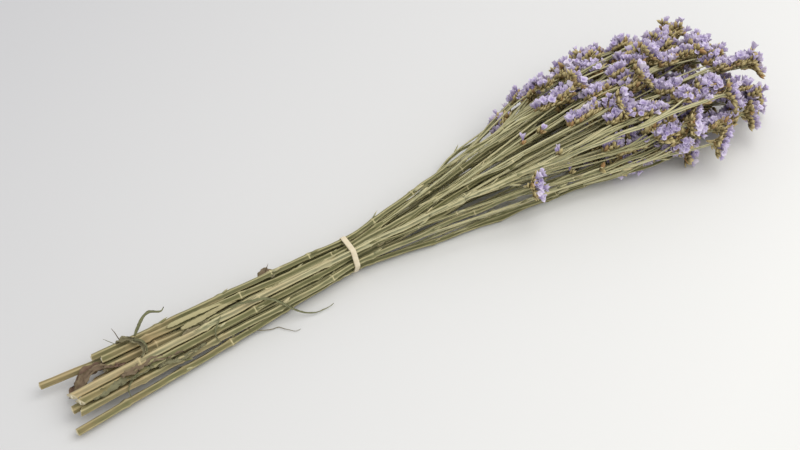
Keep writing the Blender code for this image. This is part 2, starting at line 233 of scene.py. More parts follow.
@dataclass
class BunchLayout:
    """Where every stem, branch and head of the bunch lies."""

    envelope: Envelope = field(default_factory=Envelope)
    seed: int = 11
    stems: int = 16
    heads: int = 42
    heads_a_stem: int = 3
    head_choices: int = 300
    head_radius: tuple[float, float] = (12.8 * MM, 16.0 * MM)
    cut_x: tuple[float, float] = (-260 * MM, -212 * MM)
    cut_spread: float = 12 * MM
    head_fill: float = 0.88
    tie_turn: float = 0.6
    cut_turn: float = 0.8
    fan_length: float = 150 * MM
    long_stem: int = 15
    long_stem_cut: tuple[float, float] = (0.75, 0.1)
    first_head_x: tuple[float, float] = (285 * MM, 190 * MM)
    last_head_x: tuple[float, float, float] = (356 * MM, 389 * MM, 338 * MM)
    branch_start_x: tuple[float, float] = (15 * MM, 105 * MM)
    stray_head: tuple[float, float, float, float] = (-27 * MM, 47 * MM, 152 * MM, 11 * MM)
    stray_side: tuple[float, float] = (-0.6, 0.5)
    stray_branch: float = 145 * MM
    rounds: int = 720
    slack_share: float = 0.6
    settling_share: float = 0.75
    push: float = 1.2
    pull: float = 0.05
    stiffness: tuple[float, float] = (0.16, 0.02)
    sag: float = 0.025 * MM
    squeeze: float = 0.02
    strands: list[Strand] = field(default_factory=list)
    frames: list[Matrix] = field(default_factory=list)

    def build(self) -> None:
        """Grows the strands, settles them and turns each head to face its way."""
        random = np.random.default_rng(self.seed)
        self.grow(random)
        self.relax()
        self.frames = [self.head_frame(s, random) for s in self.strands]

    def scatter_heads(self, random: np.random.Generator) -> list[tuple[float, float, float]]:
        """Spreads the heads evenly through the flowering end.

        Args:
            random: The seeded source of numbers.

        Returns:
            The heads as (x, u, v), the furthest first.
        """
        chosen, spots = [], np.empty((0, 3))
        for _ in range(self.heads):
            uv = random.uniform(-1, 1, (self.head_choices, 2))
            uv = uv[np.linalg.norm(uv, axis=1) <= 1] * self.head_fill
            first = np.interp(uv[:, 0], [-1, 1], self.first_head_x)
            last = np.interp(uv[:, 0], [-1, 0, 1], self.last_head_x)
            x = first + (last - first) * random.uniform(0, 1, len(uv))
            tries = np.column_stack([x, self.envelope.place(uv[:, 0], uv[:, 1], x)])
            nearest = np.linalg.norm(tries[:, None] - spots[None], axis=2).min(axis=1, initial=1.0)
            best = int(np.argmax(nearest))
            chosen.append((x[best], *uv[best]))
            spots = np.vstack([spots, tries[best]])
        return sorted(chosen, reverse=True)

    def grow(self, random: np.random.Generator) -> None:
        """Puts each stem and branch on the line it would take if nothing were in its way.

        Args:
            random: The seeded source of numbers.
        """
        strands = self.strands
        places = self.scatter_heads(random)
        for stem, (end, *home) in enumerate(places[: self.stems]):
            tie = turned(home, random.uniform(-self.tie_turn, self.tie_turn))
            cut = turned(tie, random.uniform(-self.cut_turn, self.cut_turn))
            start = np.interp(cut[0], [-0.7, 0.7], self.cut_x) + random.uniform(0, self.cut_spread)
            if stem == self.long_stem:
                start, cut = self.cut_x[0], np.array(self.long_stem_cut)
            main = Strand(stem, None, start, end, np.array(home), random.uniform(*self.head_radius))
            out = ease(main.x / self.fan_length)[:, None]
            back = ease(main.x / self.cut_x[0])[:, None]
            uv = np.array(home) * out + tie * (1 - out) * (1 - back) + cut * back
            main.target = self.envelope.place(uv[:, 0], uv[:, 1], main.x)
            strands.append(main)
        for end, *home in places[self.stems :]:
            free = [i for i in range(self.stems) if sum(s.stem == i for s in strands) < self.heads_a_stem]
            nearest = min(free, key=lambda i: np.linalg.norm(np.subtract(strands[i].tip_uv, home)))
            start = random.uniform(*self.branch_start_x)
            self.add_branch(nearest, start, end, home, random.uniform(*self.head_radius))
        y, z, end, radius = self.stray_head
        apart = [np.linalg.norm(np.subtract(s.tip_uv, self.stray_side)) for s in strands[: self.stems]]
        beside = int(np.argmin(apart))
        self.add_branch(beside, end - self.stray_branch, end, None, radius, goal=np.array([y, z]))
        for strand in strands:
            strand.yz = strand.target.copy()

    def add_branch(
        self, stem: int, start: float, end: float, tip: Sequence[float] | None, radius: float,
        goal: Array | None = None,
    ) -> None:
        """Adds a branch that leaves its stem at start and ends in a head at end.

        Args:
            stem: The stem's place in the list.
            start: X where it leaves.
            end: X of its head.
            tip: Where its head is, as shares of the half width and half height.
            radius: The head's radius.
            goal: Y and Z of the head, where they are given outright.
        """
        main = self.strands[stem]
        branch = Strand(main.stem, stem, start, end, tip, radius)
        on_stem = np.stack([np.interp(branch.x, main.x, main.target[:, i]) for i in (0, 1)], axis=1)
        leaving = ease((branch.x - start) / (end - start))[:, None]
        wanted = self.envelope.place(tip[0], tip[1], branch.x) if goal is None else goal
        branch.target = on_stem * (1 - leaving) + wanted * leaving
        self.strands.append(branch)

    def relax(self) -> None:
        """Moves the control points until the bunch lies on the surface and nothing runs through anything."""
        sampling = Sampling(self.strands)
        for turn in range(self.rounds):
            slack = max(0.0, 1 - turn / (self.rounds * self.slack_share))
            settling = turn < self.rounds * self.settling_share
            stiff = self.stiffness[0] * slack + self.stiffness[1] * settling
            for s, w, moved in zip(self.strands, sampling.weights, sampling.pushes(self.strands)):
                hit = (np.abs(moved).sum(axis=1) > 0).astype(float)
                s.yz += self.push * (w.T @ moved) / np.maximum(w.T @ hit, 0.35)[:, None]
                s.yz += self.pull * slack * (s.target - s.yz)
                middles = (s.yz[:-2] + s.yz[2:]) / 2
                s.yz[1:-1] += stiff * (middles - s.yz[1:-1])
                s.yz[:, 1] -= self.sag * settling
                if s.parent is None:
                    tied = int(np.argmin(np.abs(s.x)))
                    s.yz[tied] += self.squeeze * settling * (self.envelope.place(0, 0, 0.0) - s.yz[tied])
                else:
                    s.yz[0] = self.strands[s.parent].at(s.start)[1:]

    def head_frame(self, strand: Strand, random: np.random.Generator) -> Matrix:
        """Finds the way a head faces: along its branch, leaning out of the bunch and a little up.

        Args:
            strand: The head's stem or branch.
            random: The seeded source of numbers.

        Returns:
            The matrix from the head's own frame, +Z along its axis, to the bunch's.
        """
        tip = strand.at(strand.end)
        outward = (tip - Vector((strand.end, *self.envelope.place(0, 0, strand.end)))) / (40 * MM)
        lean = Vector((0, outward.y * 0.55, outward.z * 0.35 + 0.25))
        jitter = Vector([random.uniform(-0.2, 0.2) for _ in range(3)])
        axis = (strand.tangent() + lean + jitter).normalized()
        return Matrix.Translation(tip) @ axis.to_track_quat("Z", "Y").to_matrix().to_4x4()


class Wire:
    """A shader socket or a number that works in arithmetic, adding a Math node for each step."""

    def __init__(self, shader: "ShaderBuilder", value: bpy.types.NodeSocket | float) -> None:
        """Wraps a socket of the shader being built."""
        self.shader = shader
        self.value = value

    def _math(self, operation: str, other: "Wire | float", swapped: bool = False) -> "Wire":
        """Adds one Math node.

        Args:
            operation: The Math node's operation.
            other: The second value.
            swapped: Whether the second value comes first.

        Returns:
            The node's result.
        """
        pair = (other, self) if swapped else (self, other)
        return self.shader.node("ShaderNodeMath", {"operation": operation}, dict(enumerate(pair)))

    def __add__(self, other: "Wire | float") -> "Wire":
        """The sum."""
        return self._math("ADD", other)

    def __sub__(self, other: "Wire | float") -> "Wire":
        """The difference."""
        return self._math("SUBTRACT", other)

    def __rsub__(self, other: float) -> "Wire":
        """The difference the other way round."""
        return self._math("SUBTRACT", other, swapped=True)

    def __mul__(self, other: "Wire | float") -> "Wire":
        """The product."""
        return self._math("MULTIPLY", other)

    __radd__ = __add__
    __rmul__ = __mul__

    def clamped(self) -> "Wire":
        """The value kept between 0 and 1."""
        return self.shader.node("ShaderNodeClamp", {}, {"Value": self})

    def output(self, which: str | int) -> "Wire":
        """Another output of the node that this one comes from."""
        return Wire(self.shader, self.value.node.outputs[which])


class ShaderBuilder:
    """Builds one material around its Principled shader."""

    RELIEF = 0.4 * MM

    def __init__(self, name: str, roughness: float, **constants: float) -> None:
        """Starts a material.

        Args:
            name: The material's name.
            roughness: The shader's roughness.
            constants: Other sockets that are the same all over, with _ for a space in their names.
        """
        self.material = bpy.data.materials.new(name)
        self.material.use_nodes = True
        self.tree = self.material.node_tree
        self.shader = self.tree.nodes["Principled BSDF"]
        self.shader.inputs["Roughness"].default_value = roughness
        for key, value in constants.items():
            self.shader.inputs[key.replace("_", " ")].default_value = value

    def node(
        self, kind: str, settings: dict[str, object], inputs: dict[str | int, object], output: str | int = 0
    ) -> Wire:
        """Adds one node.

        Args:
            kind: The node's type.
            settings: Its own settings; stops is the list of a colour ramp's positions and colours.
            inputs: Values or wires for its sockets, by name or index.
            output: The socket to hand back.

        Returns:
            The chosen output.
        """
        made = self.tree.nodes.new(kind)
        for key, value in settings.items():
            if key == "stops":
                ramp = made.color_ramp
                for _ in range(len(value) - len(ramp.elements)):
                    ramp.elements.new(0.5)
                for element, (position, colour) in zip(ramp.elements, value):
                    element.position = position
                    element.color = (*colour, 1.0)
            else:
                setattr(made, key, value)
        for key, value in inputs.items():
            if isinstance(value, Wire):
                self.tree.links.new(value.value, made.inputs[key])
            else:
                made.inputs[key].default_value = value
        return Wire(self, made.outputs[output])

    def attribute(self, name: str) -> tuple[Wire, Wire, Wire]:
        """Reads the three numbers that the mesh carries under a name.

        Args:
            name: The attribute's name.

        Returns:
            The numbers.
        """
        carried = self.node("ShaderNodeAttribute", {"attribute_name": name}, {}, "Color")
        split = self.node("ShaderNodeSeparateColor", {}, {"Color": carried})
        return split, split.output(1), split.output(2)

    def noise(self, scale: Sequence[float], detail: float = 3.0, roughness: float = 0.55) -> Wire:
        """Noise on Object coordinates.

        Args:
            scale: How many features a metre along X, Y and Z.
            detail: The octaves.
            roughness: How strong the finer octaves are.

        Returns:
            A value round 0.5.
        """
        place = self.node("ShaderNodeTexCoord", {}, {}, "Object")
        mapped = self.node("ShaderNodeMapping", {}, {"Vector": place, "Scale": tuple(scale)})
        settings = {"Vector": mapped, "Scale": 1.0, "Detail": detail, "Roughness": roughness}
        return self.node("ShaderNodeTexNoise", {}, settings, "Fac")

    def ramp(self, value: Wire, stops: Sequence[tuple[float, Colour]]) -> Wire:
        """A colour picked by a value."""
        return self.node("ShaderNodeValToRGB", {"stops": stops}, {"Fac": value})

    def mix(self, factor: Wire | float, first: Wire | Colour, second: Wire | Colour) -> Wire:
        """Mixes two colours.

        Args:
            factor: 0 for the first, 1 for the second.
            first: A colour or a wire.
            second: A colour or a wire.

        Returns:
            The mixed colour.
        """
        first, second = ((*c, 1.0) if isinstance(c, tuple) else c for c in (first, second))
        settings = {"data_type": "RGBA", "clamp_factor": True}
        return self.node("ShaderNodeMix", settings, {0: factor, 6: first, 7: second}, 2)

    def feed(self, socket: str, wire: Wire) -> None:
        """Links a wire to one of the shader's own sockets."""
        self.tree.links.new(wire.value, self.shader.inputs[socket])

    def finish(
        self, colour: Wire, height: Wire, strength: float, roughness: Wire | None = None
    ) -> bpy.types.Material:
        """Links colour, relief and roughness to the shader.

        Args:
            colour: The base colour.
            height: The relief.
            strength: How deep the relief looks.
            roughness: The roughness where it varies.

        Returns:
            The finished material.
        """
        self.feed("Base Color", colour)
        relief = {"Strength": strength, "Distance": self.RELIEF, "Height": height}
        self.feed("Normal", self.node("ShaderNodeBump", {}, relief))
        if roughness is not None:
            self.feed("Roughness", roughness)
        return self.material


@dataclass(frozen=True)
class DriedStemFinish:
    """Matt, fibrous dried stem: sage to straw, paler on the wings, browner towards the cut, with painted shade
    in the hollows between its wings.
    """

    sage: Colour = (0.205, 0.20, 0.086)
    grey_green: Colour = (0.455, 0.458, 0.282)
    straw: Colour = (0.72, 0.635, 0.36)
    tan: Colour = (0.50, 0.33, 0.16)
    # painted shade for the hollows between the wings and between the fibres
    painted_groove_shade: Colour = (0.07, 0.065, 0.026)
    pith: Colour = (0.78, 0.72, 0.54)

    def make(self) -> bpy.types.Material:
        """Builds the material, which reads tone, edge share and length share from the mesh.

        Returns:
            The material.
        """
        b = ShaderBuilder("dried_stem_fibre", 0.78, Specular_IOR_Level=0.3)
        tone, edge, along = b.attribute("growth")
        fibre = b.noise((16, 900, 900), 2.0)
        blotch = b.noise((32, 60, 60), 3.0)
        green = b.mix((tone * 1.5 + blotch * 0.9 - 0.65).clamped(), self.sage, self.grey_green)
        ripe = b.mix((edge * 0.65 + fibre * 1.1 + tone * 0.45 - 0.85).clamped(), green, self.straw)
        browned = ((1 - along) * 0.8 + blotch * 1.5 + tone * 0.4 - 1.30).clamped()
        brown = b.mix(browned, ripe, self.tan)
        # Painted shade: darkens the hollows between the wings and between the fibres, less so towards the cut.
        hollow = ((0.36 - edge) * 1.6 + (0.5 - fibre) * 2.2).clamped() * (0.35 + along * 1.3).clamped()
        dark = b.mix(hollow * 0.8, brown, self.painted_groove_shade)
        flagged = b.mix((edge - 1.5).clamped() * 2.0, dark, self.pith)
        return b.finish(flagged, fibre * 0.8 + blotch * 0.2, 0.55)


@dataclass(frozen=True)
class BractFinish:
    """Olive brown bract: brown at its base, with a pale straw rim."""

    base: Colour = (0.11, 0.078, 0.026)
    olive: Colour = (0.45, 0.365, 0.145)
    rim: Colour = (0.70, 0.59, 0.32)
    rust: Colour = (0.44, 0.23, 0.09)

    def make(self) -> bpy.types.Material:
        """Builds the material, which reads tone, tip share and rim share from the mesh.

        Returns:
            The material.
        """
        b = ShaderBuilder("dried_bract", 0.72, Specular_IOR_Level=0.35)
        tone, tip, side = b.attribute("growth")
        grain = b.noise((420, 420, 420), 3.0)
        body = b.mix((tip * 1.5 + grain * 0.5 - 0.45).clamped(), self.base, self.olive)
        rimmed = b.mix((side * tip * 1.4 + grain * 0.5 - 0.5).clamped(), body, self.rim)
        rusty = b.mix((tone * 2.2 + grain * 0.7 - 1.75).clamped(), rimmed, self.rust)
        return b.finish(rusty, grain, 0.4)


@dataclass(frozen=True)
class FloretFinish:
    """Papery lavender calyx: painted shade darkens it to violet down its throat, and painted highlight, with
    the paper's own paleness, lightens its crinkled rim.
    """

    # throat: painted shade down the funnel
    throat: Colour = (0.26, 0.20, 0.42)
    lavender: Colour = (0.54, 0.46, 0.67)
    # rim: painted highlight, partly the paper's own paleness
    rim: Colour = (0.78, 0.72, 0.87)
    faded: Colour = (0.80, 0.74, 0.80)
    withered: Colour = (0.085, 0.06, 0.13)

    def make(self) -> bpy.types.Material:
        """Builds the material, which reads tone, rim share and fading from the mesh.

        Returns:
            The material.
        """
        b = ShaderBuilder("papery_lavender", 0.82, Specular_IOR_Level=0.2, Sheen_Weight=0.15)
        tone, rim, faded = b.attribute("growth")
        vein = b.noise((700, 700, 700), 2.0)
        # Painted shade: violet towards the base and down the throat of each funnel.
        body = b.mix((rim * 1.7 + tone * 0.3 - 0.35).clamped(), self.throat, self.lavender)
        # Painted highlight, partly the paper's own paleness, on the rim.
        pale = b.mix((rim * 1.5 + vein * 0.8 + tone * 0.6 - 1.55).clamped(), body, self.rim)
        old = b.mix((faded * 1.6 - 0.9).clamped(), pale, self.faded)
        dark = b.mix((faded - 1.0).clamped() * 0.9, old, self.withered)
        return b.finish(dark, vein, 0.3)


@dataclass(frozen=True)
class LeafFinish:
    """Brittle dead leaf, grey green, purplish brown or straw yellow, with painted shade in its creases and
    painted highlight on its raised crumples.
    """

    green: Colour = (0.25, 0.255, 0.14)
    brown: Colour = (0.20, 0.125, 0.088)
    straw: Colour = (0.50, 0.46, 0.245)
    # painted shade for the creases
    painted_crease_shade: Colour = (0.075, 0.06, 0.04)

    def make(self) -> bpy.types.Material:
        """Builds the material, which reads which leaf it is and how near its rim from the mesh.

        Returns:
            The material.
        """
        b = ShaderBuilder("dead_leaf", 0.85, Specular_IOR_Level=0.25)
        tone, edge, _ = b.attribute("growth")
        crumple = b.noise((230, 260, 260), 4.0, 0.7)
        fibre = b.noise((20, 800, 800), 2.0)
        body = b.ramp(tone, [(0.1, self.green), (0.5, self.brown), (0.9, self.straw)])
        # Paler towards the rims and, as painted highlight, on the raised crumples that the relief also shows.
        light = b.mix((edge * 0.5 + crumple - 0.75).clamped(), body, b.mix(0.5, body, self.straw))
        # Painted shade in the creases: darker where the crumple and fibre noises, which also raise the relief,
        # are low.
        painted_fold_shade = ((0.47 - crumple) * 4.5 * (1.1 - tone) + (0.42 - fibre) * 3.0 * tone).clamped()
        painted_relief_colour = b.mix(painted_fold_shade, light, self.painted_crease_shade)
        return b.finish(painted_relief_colour, crumple * 0.6 + fibre * 0.4, 0.7)


@dataclass(frozen=True)
class ElasticFinish:
    """Cream rubber elastic with fine lengthwise ribs and a little grime."""

    cream: Colour = (0.80, 0.70, 0.51)
    shade: Colour = (0.63, 0.51, 0.33)

    def make(self) -> bpy.types.Material:
        """Builds the material, with ribs across the band's width.

        Returns:
            The material.
        """
        b = ShaderBuilder("cream_elastic", 0.5, Specular_IOR_Level=0.45)
        grime = b.noise((240, 240, 240), 4.0)
        rib = b.noise((2600, 60, 60), 1.0)
        body = b.mix((grime * 2.4 - 0.95).clamped() * 0.6, self.cream, self.shade)
        return b.finish(body, rib * 0.7 + grime * 0.3, 0.35, 0.4 + grime * 0.25)


def loft(bm: bmesh.types.BMesh, rings: Array, growth: Array, closed: bool = False) -> None:
    """Adds a tube that passes through rings of points.

    Args:
        bm: The mesh it is added to, with its growth layer made.
        rings: The points, as rings by points a ring by (x, y, z).
        growth: The values the finish reads, as rings by points by (r, g, b).
        closed: Whether the last ring joins the first, in place of caps.
    """
    if closed:
        rings, growth = (np.concatenate([a, a[:1]]) for a in (rings, growth))
    rings, growth = (np.concatenate([a, a[:, :1]], axis=1) for a in (rings, growth))
    count, around = rings.shape[:2]
    layer = bm.verts.layers.float_color["growth"]
    made = bmesh.ops.create_grid(bm, x_segments=around - 1, y_segments=count - 1, size=1.0)["verts"]
    for vertex, co, value in zip(made, rings.reshape(-1, 3), growth.reshape(-1, 3)):
        vertex.co = co
        vertex[layer] = (*value, 1.0)
    if not closed:
        ends = [made[:around], made[-around:]]
    bmesh.ops.remove_doubles(bm, verts=made, dist=1e-7)
    if not closed:
        for end in ends:
            loop = [v for v in end if v.is_valid]
            cap = bmesh.ops.contextual_create(bm, geom=loop)["faces"]
            bmesh.ops.triangulate(bm, faces=cap)


def new_bmesh() -> bmesh.types.BMesh:
    """Makes an empty mesh with the layer that the finishes read.

    Returns:
        The mesh.
    """
    bm = bmesh.new()
    bm.verts.layers.float_color.new("growth")
    return bm


def hand_over(
    bm: bmesh.types.BMesh, name: str, finish: bpy.types.Material, nodes: Iterable[str] = (),
    smooth: bool = True,
) -> bpy.types.Object:
    """Makes a piece of the bunch out of a mesh.

    Args:
        bm: The mesh, which is used up.
        name: The piece's name.
        finish: Its material.
        nodes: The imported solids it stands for.
        smooth: Whether its faces are shaded smooth.

    Returns:
        The piece.
    """
    bmesh.ops.recalc_face_normals(bm, faces=bm.faces)
    for face in bm.faces:
        face.smooth = smooth
    mesh = bpy.data.meshes.new(name)
    bm.to_mesh(mesh)
    bm.free()
    mesh.materials.append(finish)
    piece = bpy.data.objects.new(name, mesh)
    bpy.context.scene.collection.objects.link(piece)
    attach(piece, "root")
    if nodes:
        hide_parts(*nodes)
    return piece


def smoothed(points: Array, times: int) -> Array:
    """Rounds the corners of a line and keeps its ends.

    Args:
        points: The line.
        times: How often each point moves towards its neighbours.

    Returns:
        The new line.
    """
    points = points.copy()
    for _ in range(times):
        points[1:-1] = (points[:-2] + 2 * points[1:-1] + points[2:]) / 4
    return points


def frames_along(points: Array) -> tuple[Array, Array]:
    """Finds the two directions across a line.

    Args:
        points: The line.

    Returns:
        The sideways and the upward direction at each point.
    """
    tangent = np.gradient(points, axis=0)
    tangent /= np.linalg.norm(tangent, axis=1)[:, None]
    helper = np.where(np.abs(tangent[:, 2:]) < 0.9, np.array([[0.0, 0.0, 1.0]]), np.array([[0.0, 1.0, 0.0]]))
    side = np.cross(helper, tangent)
    side /= np.linalg.norm(side, axis=1)[:, None]
    return side, np.cross(tangent, side)


@dataclass
class Patterns:
    """The few shapes that are repeated hundreds of times: papery calyxes and boat-shaped bracts."""

    random: np.random.Generator
    variants: int = 6
    calyx_around: int = 10
    calyx_open: tuple[float, float] = (0.66, 1.10)
    lobe_and_notch: tuple[float, float] = (1.0, 0.91)
    bract_around: int = 5
    bract_bend: tuple[float, float] = (0.02, 0.16)
    calyxes: list[bpy.types.Mesh] = field(init=False)
    bracts: list[bpy.types.Mesh] = field(init=False)

    def __post_init__(self) -> None:
        """Makes a few variants of each shape."""
        self.calyxes = [self.calyx() for _ in range(self.variants)]
        self.bracts = [self.bract() for _ in range(self.variants)]

    @staticmethod
    def stored(bm: bmesh.types.BMesh, name: str) -> bpy.types.Mesh:
        """Keeps a shape as a mesh that isn't shown itself.

        Args:
            bm: The shape, which is used up.
            name: The mesh's name.

        Returns:
            The mesh.
        """
        bmesh.ops.recalc_face_normals(bm, faces=bm.faces)
        mesh = bpy.data.meshes.new(name)
        bm.to_mesh(mesh)
        bm.free()
        return mesh

    def calyx(self) -> bpy.types.Mesh:
        """Makes a papery funnel one unit long, with its base at the origin and five crinkled lobes.

        Returns:
            The funnel.
        """
        bm = new_bmesh()
        around = self.calyx_around
        opened = self.random.uniform(*self.calyx_open)
        turn = np.arange(around) * 2 * math.pi / around + self.random.uniform(-0.12, 0.12, around)
        lobe = np.array(self.lobe_and_notch * (around // 2)) * self.random.uniform(0.84, 1.14, around)
        pleat = np.array([0.04, -0.06] * (around // 2)) + self.random.uniform(-0.19, 0.17, around)
        # The last value of each ring leads the finish from painted shade at the base and throat to the rim's
        # painted highlight.
        base, neck = (0.05, 0.0, 0.0, 0.0), (0.18, 0.45, 0.2, 0.3)
        rim, throat = (0.53 * opened, 0.96, 1.0, 1.0), (0.12, 0.76, 0.3, 0.35)
        rings, growth = [], []
        for radius, height, shaped, paleness in (base, neck, rim, throat):
            reach = radius * (1 + (lobe - 1) * shaped)
            ring = [reach * np.cos(turn), reach * np.sin(turn), height + pleat * shaped]
            rings.append(np.stack(ring, axis=1))
            growth.append(np.tile([0.5, paleness, 0.0], (around, 1)))
        loft(bm, np.array(rings), np.array(growth))
        return self.stored(bm, "calyx_pattern")

    def bract(self) -> bpy.types.Mesh:
        """Makes a pointed boat-shaped scale one unit long, with its base at the origin and its hollow to +Y.

        Returns:
            The scale.
        """
        bm = new_bmesh()
        around = self.bract_around
        along = (0.0, 0.30, 0.70, 1.0)
        width = np.array([0.08, 0.25, 0.21, 0.015]) * self.random.uniform(0.85, 1.12)
        turn = np.arange(around) * 2 * math.pi / around
        bend = self.random.uniform(*self.bract_bend)
        rings, growth = [], []
        for t, w in zip(along, width):
            x = w * np.cos(turn)
            y = w * 0.55 * np.sin(turn) + 0.7 * np.abs(x) ** 1.4 + bend * t * t - 0.05
            rings.append(np.stack([x, y, np.full(around, t)], axis=1))
            growth.append(np.stack([np.full(around, 0.5), np.full(around, t), np.abs(np.cos(turn))], axis=1))
        loft(bm, np.array(rings), np.array(growth))
        return self.stored(bm, "bract_pattern")

    def clear(self) -> None:
        """Removes the stored shapes once every copy is made."""
        for mesh in (*self.calyxes, *self.bracts):
            bpy.data.meshes.remove(mesh)

    def stamp(
        self, bm: bmesh.types.BMesh, kind: list[bpy.types.Mesh], matrix: Matrix, tone: float,
        third: float | None = None,
    ) -> None:
        """Adds a copy of a repeated shape to a mesh that has had nothing removed.

        Args:
            bm: The mesh it is added to.
            kind: The shape's variants.
            matrix: Its place and size.
            tone: The copy's own tone for the finish.
            third: The copy's third value for the finish, or None to keep the shape's.
        """
        before = len(bm.verts)
        bm.from_mesh(kind[self.random.integers(len(kind))])
        bm.verts.ensure_lookup_table()
        layer = bm.verts.layers.float_color["growth"]
        for vertex in bm.verts[before:]:
            vertex.co = matrix @ vertex.co
            vertex.co.z = max(vertex.co.z, FLOOR_GAP)
            _, second, kept, _ = vertex[layer]
            vertex[layer] = (tone, second, kept if third is None else third, 1.0)


def aimed(place: Vector, way: Vector, facing: Vector, length: float, width: float = 1.0) -> Matrix:
    """Finds the matrix that stands a repeated shape on a place.

    Args:
        place: Where its base goes.
        way: The way its +Z goes.
        facing: The side its +Y turns to, as far as it can.
        length: Its length.
        width: Its width as a share of the length the pattern would give it.

    Returns:
        The matrix.
    """
    z = way.normalized()
    y = (facing - z * facing.dot(z)).normalized()
    turn = Matrix((y.cross(z), y, z)).transposed().to_4x4()
    return Matrix.Translation(place) @ turn @ Matrix.Diagonal((length * width, length * width, length, 1.0))


@dataclass(eq=False)
class Sprig:
    """A thin side twig that leaves a stem below its head and ends in a short flowering spike, or in three."""

    strand: Strand
    line: Array
    flowers_from: int
    forked: bool = True
    fork_length: tuple[float, float] = (8 * MM, 12 * MM)
    fork_forward: float = 0.75
    fork_aside: tuple[float, float] = (0.45, 0.8)
    fork_raised: tuple[float, float] = (0.05, 0.3)
    fork_curl: float = 2 * MM

    def forks(self, random: np.random.Generator, up: Vector) -> list[Array]:
        """Lays the two short spikes that fork off where a twig starts to flower.

        Args:
            random: The seeded source of numbers.
            up: The side the calyxes stand on.

        Returns:
            The lines of the two spikes, or none where the twig doesn't fork.
        """
        if not self.forked:
            return []
        base, last = Vector(self.line[self.flowers_from]), Vector(self.line[-1])
        tangent = (last - base).normalized()
        across = tangent.cross(up).normalized()
        lines = []
        for side in (-1, 1):
            way = tangent * self.fork_forward + across * side * random.uniform(*self.fork_aside)
            way += up * random.uniform(*self.fork_raised)
            way *= random.uniform(*self.fork_length) / way.length
            shares = np.linspace(0, 1, 5)
            lines.append(np.array([base + way * t + tangent * (t * t * self.fork_curl) for t in shares]))
        return lines


@dataclass
class SprigPlan:
    """Where the side twigs leave, and how far from their stems they flower."""

    layout: BunchLayout
    random: np.random.Generator
    each: int = 4
    leaves_before_head: tuple[float, float] = (62 * MM, 95 * MM)
    long_leaves_before_head: tuple[float, float] = (150 * MM, 245 * MM)
    first_leaves: float = 22 * MM
    fork_offset: float = 4 * MM
    flowers_before_head: tuple[float, float] = (0 * MM, 48 * MM)
    bit_length: float = 26 * MM
    bit_stem_before: float = 30 * MM
    stray_bits: tuple[Place, ...] = (
        (166 * MM, 6 * MM, 50 * MM), (183 * MM, 7 * MM, 55 * MM), (184 * MM, -20 * MM, 53 * MM),
        (194 * MM, -27 * MM, 31 * MM), (219 * MM, -34 * MM, 32 * MM))
    spike_length: tuple[float, float] = (11 * MM, 19 * MM)
    outward: tuple[float, float] = (1 * MM, 11 * MM)
    sideways: tuple[float, float] = (-5 * MM, 5 * MM)
    upward: tuple[float, float] = (-2 * MM, 9 * MM)
    furthest: float = 0.93
    lowest: float = 5 * MM

    def sprigs(self) -> list[Sprig]:
        """Lays the twigs of every stem and branch but the stray one, and the few bits that flower low down.

        Returns:
            The twigs: the short ones, then the bits, then a long one for each stem and branch.
        """
        flowering = self.layout.strands[:-1]
        short = [self.sprig(s, self.leaves_before_head, 16) for s in flowering for _ in range(self.each)]
        bits = [self.bit(place) for place in self.stray_bits]
        return short + bits + [self.sprig(s, self.long_leaves_before_head, 40) for s in flowering]

    def bit(self, place: Place) -> Sprig:
        """Lays a short twig with two or three calyxes on the stem that passes nearest.

        Args:
            place: Where it ends.

        Returns:
            The twig.
        """
        start = place[0] - self.bit_stem_before
        passing = [s for s in self.layout.strands if s.start < start and s.end > place[0]]
        strand = min(passing, key=lambda s: (s.at(place[0]) - Vector(place)).length)
        x = np.linspace(place[0] - self.bit_length, place[0], 10)
        line = np.array([strand.at(v) for v in x])
        share = ease((x - x[0]) / (x[-1] - x[0]))[:, None]
        line += (np.array(place) - line[-1]) * share
        return Sprig(strand, line, 8, forked=False)

    def sprig(self, strand: Strand, leaves: tuple[float, float], count: int) -> Sprig:
        """Lays one twig.

        Args:
            strand: The stem or branch it leaves.
            leaves: How far before the strand's head it leaves, at least and at most.
            count: How many points its line has.

        Returns:
            The twig with its spike.
        """
        r = self.random
        start = max(strand.end - r.uniform(*leaves), strand.start + self.fork_offset, self.first_leaves)
        flowering = strand.end - r.uniform(*self.flowers_before_head)
        end = flowering + r.uniform(*self.spike_length)
        middle = self.layout.envelope.place(0, 0, flowering)
        out = np.array(strand.at(flowering))[1:] - middle
        out /= max(float(np.linalg.norm(out)), 1e-6)
        offset = out * r.uniform(*self.outward)
        offset += np.array([r.uniform(*self.sideways), r.uniform(*self.upward)])
        x = np.linspace(start, end, count)
        base = np.array([strand.at(v) for v in x])
        share = ease((x - start) / (end - start))[:, None]
        base[:, 1:] += offset * share * 1.25
        centre = self.layout.envelope.place(0, 0, x)
        size = self.layout.envelope.place(1, 1, x) - centre
        reached = np.linalg.norm((base[:, 1:] - centre) / size, axis=1)
        kept = np.minimum(1, self.furthest / reached)[:, None] ** share
        base[:, 1:] = centre + (base[:, 1:] - centre) * kept
        base[:, 2] = np.maximum(base[:, 2], self.lowest)
        return Sprig(strand, base, int(np.searchsorted(x, flowering)))


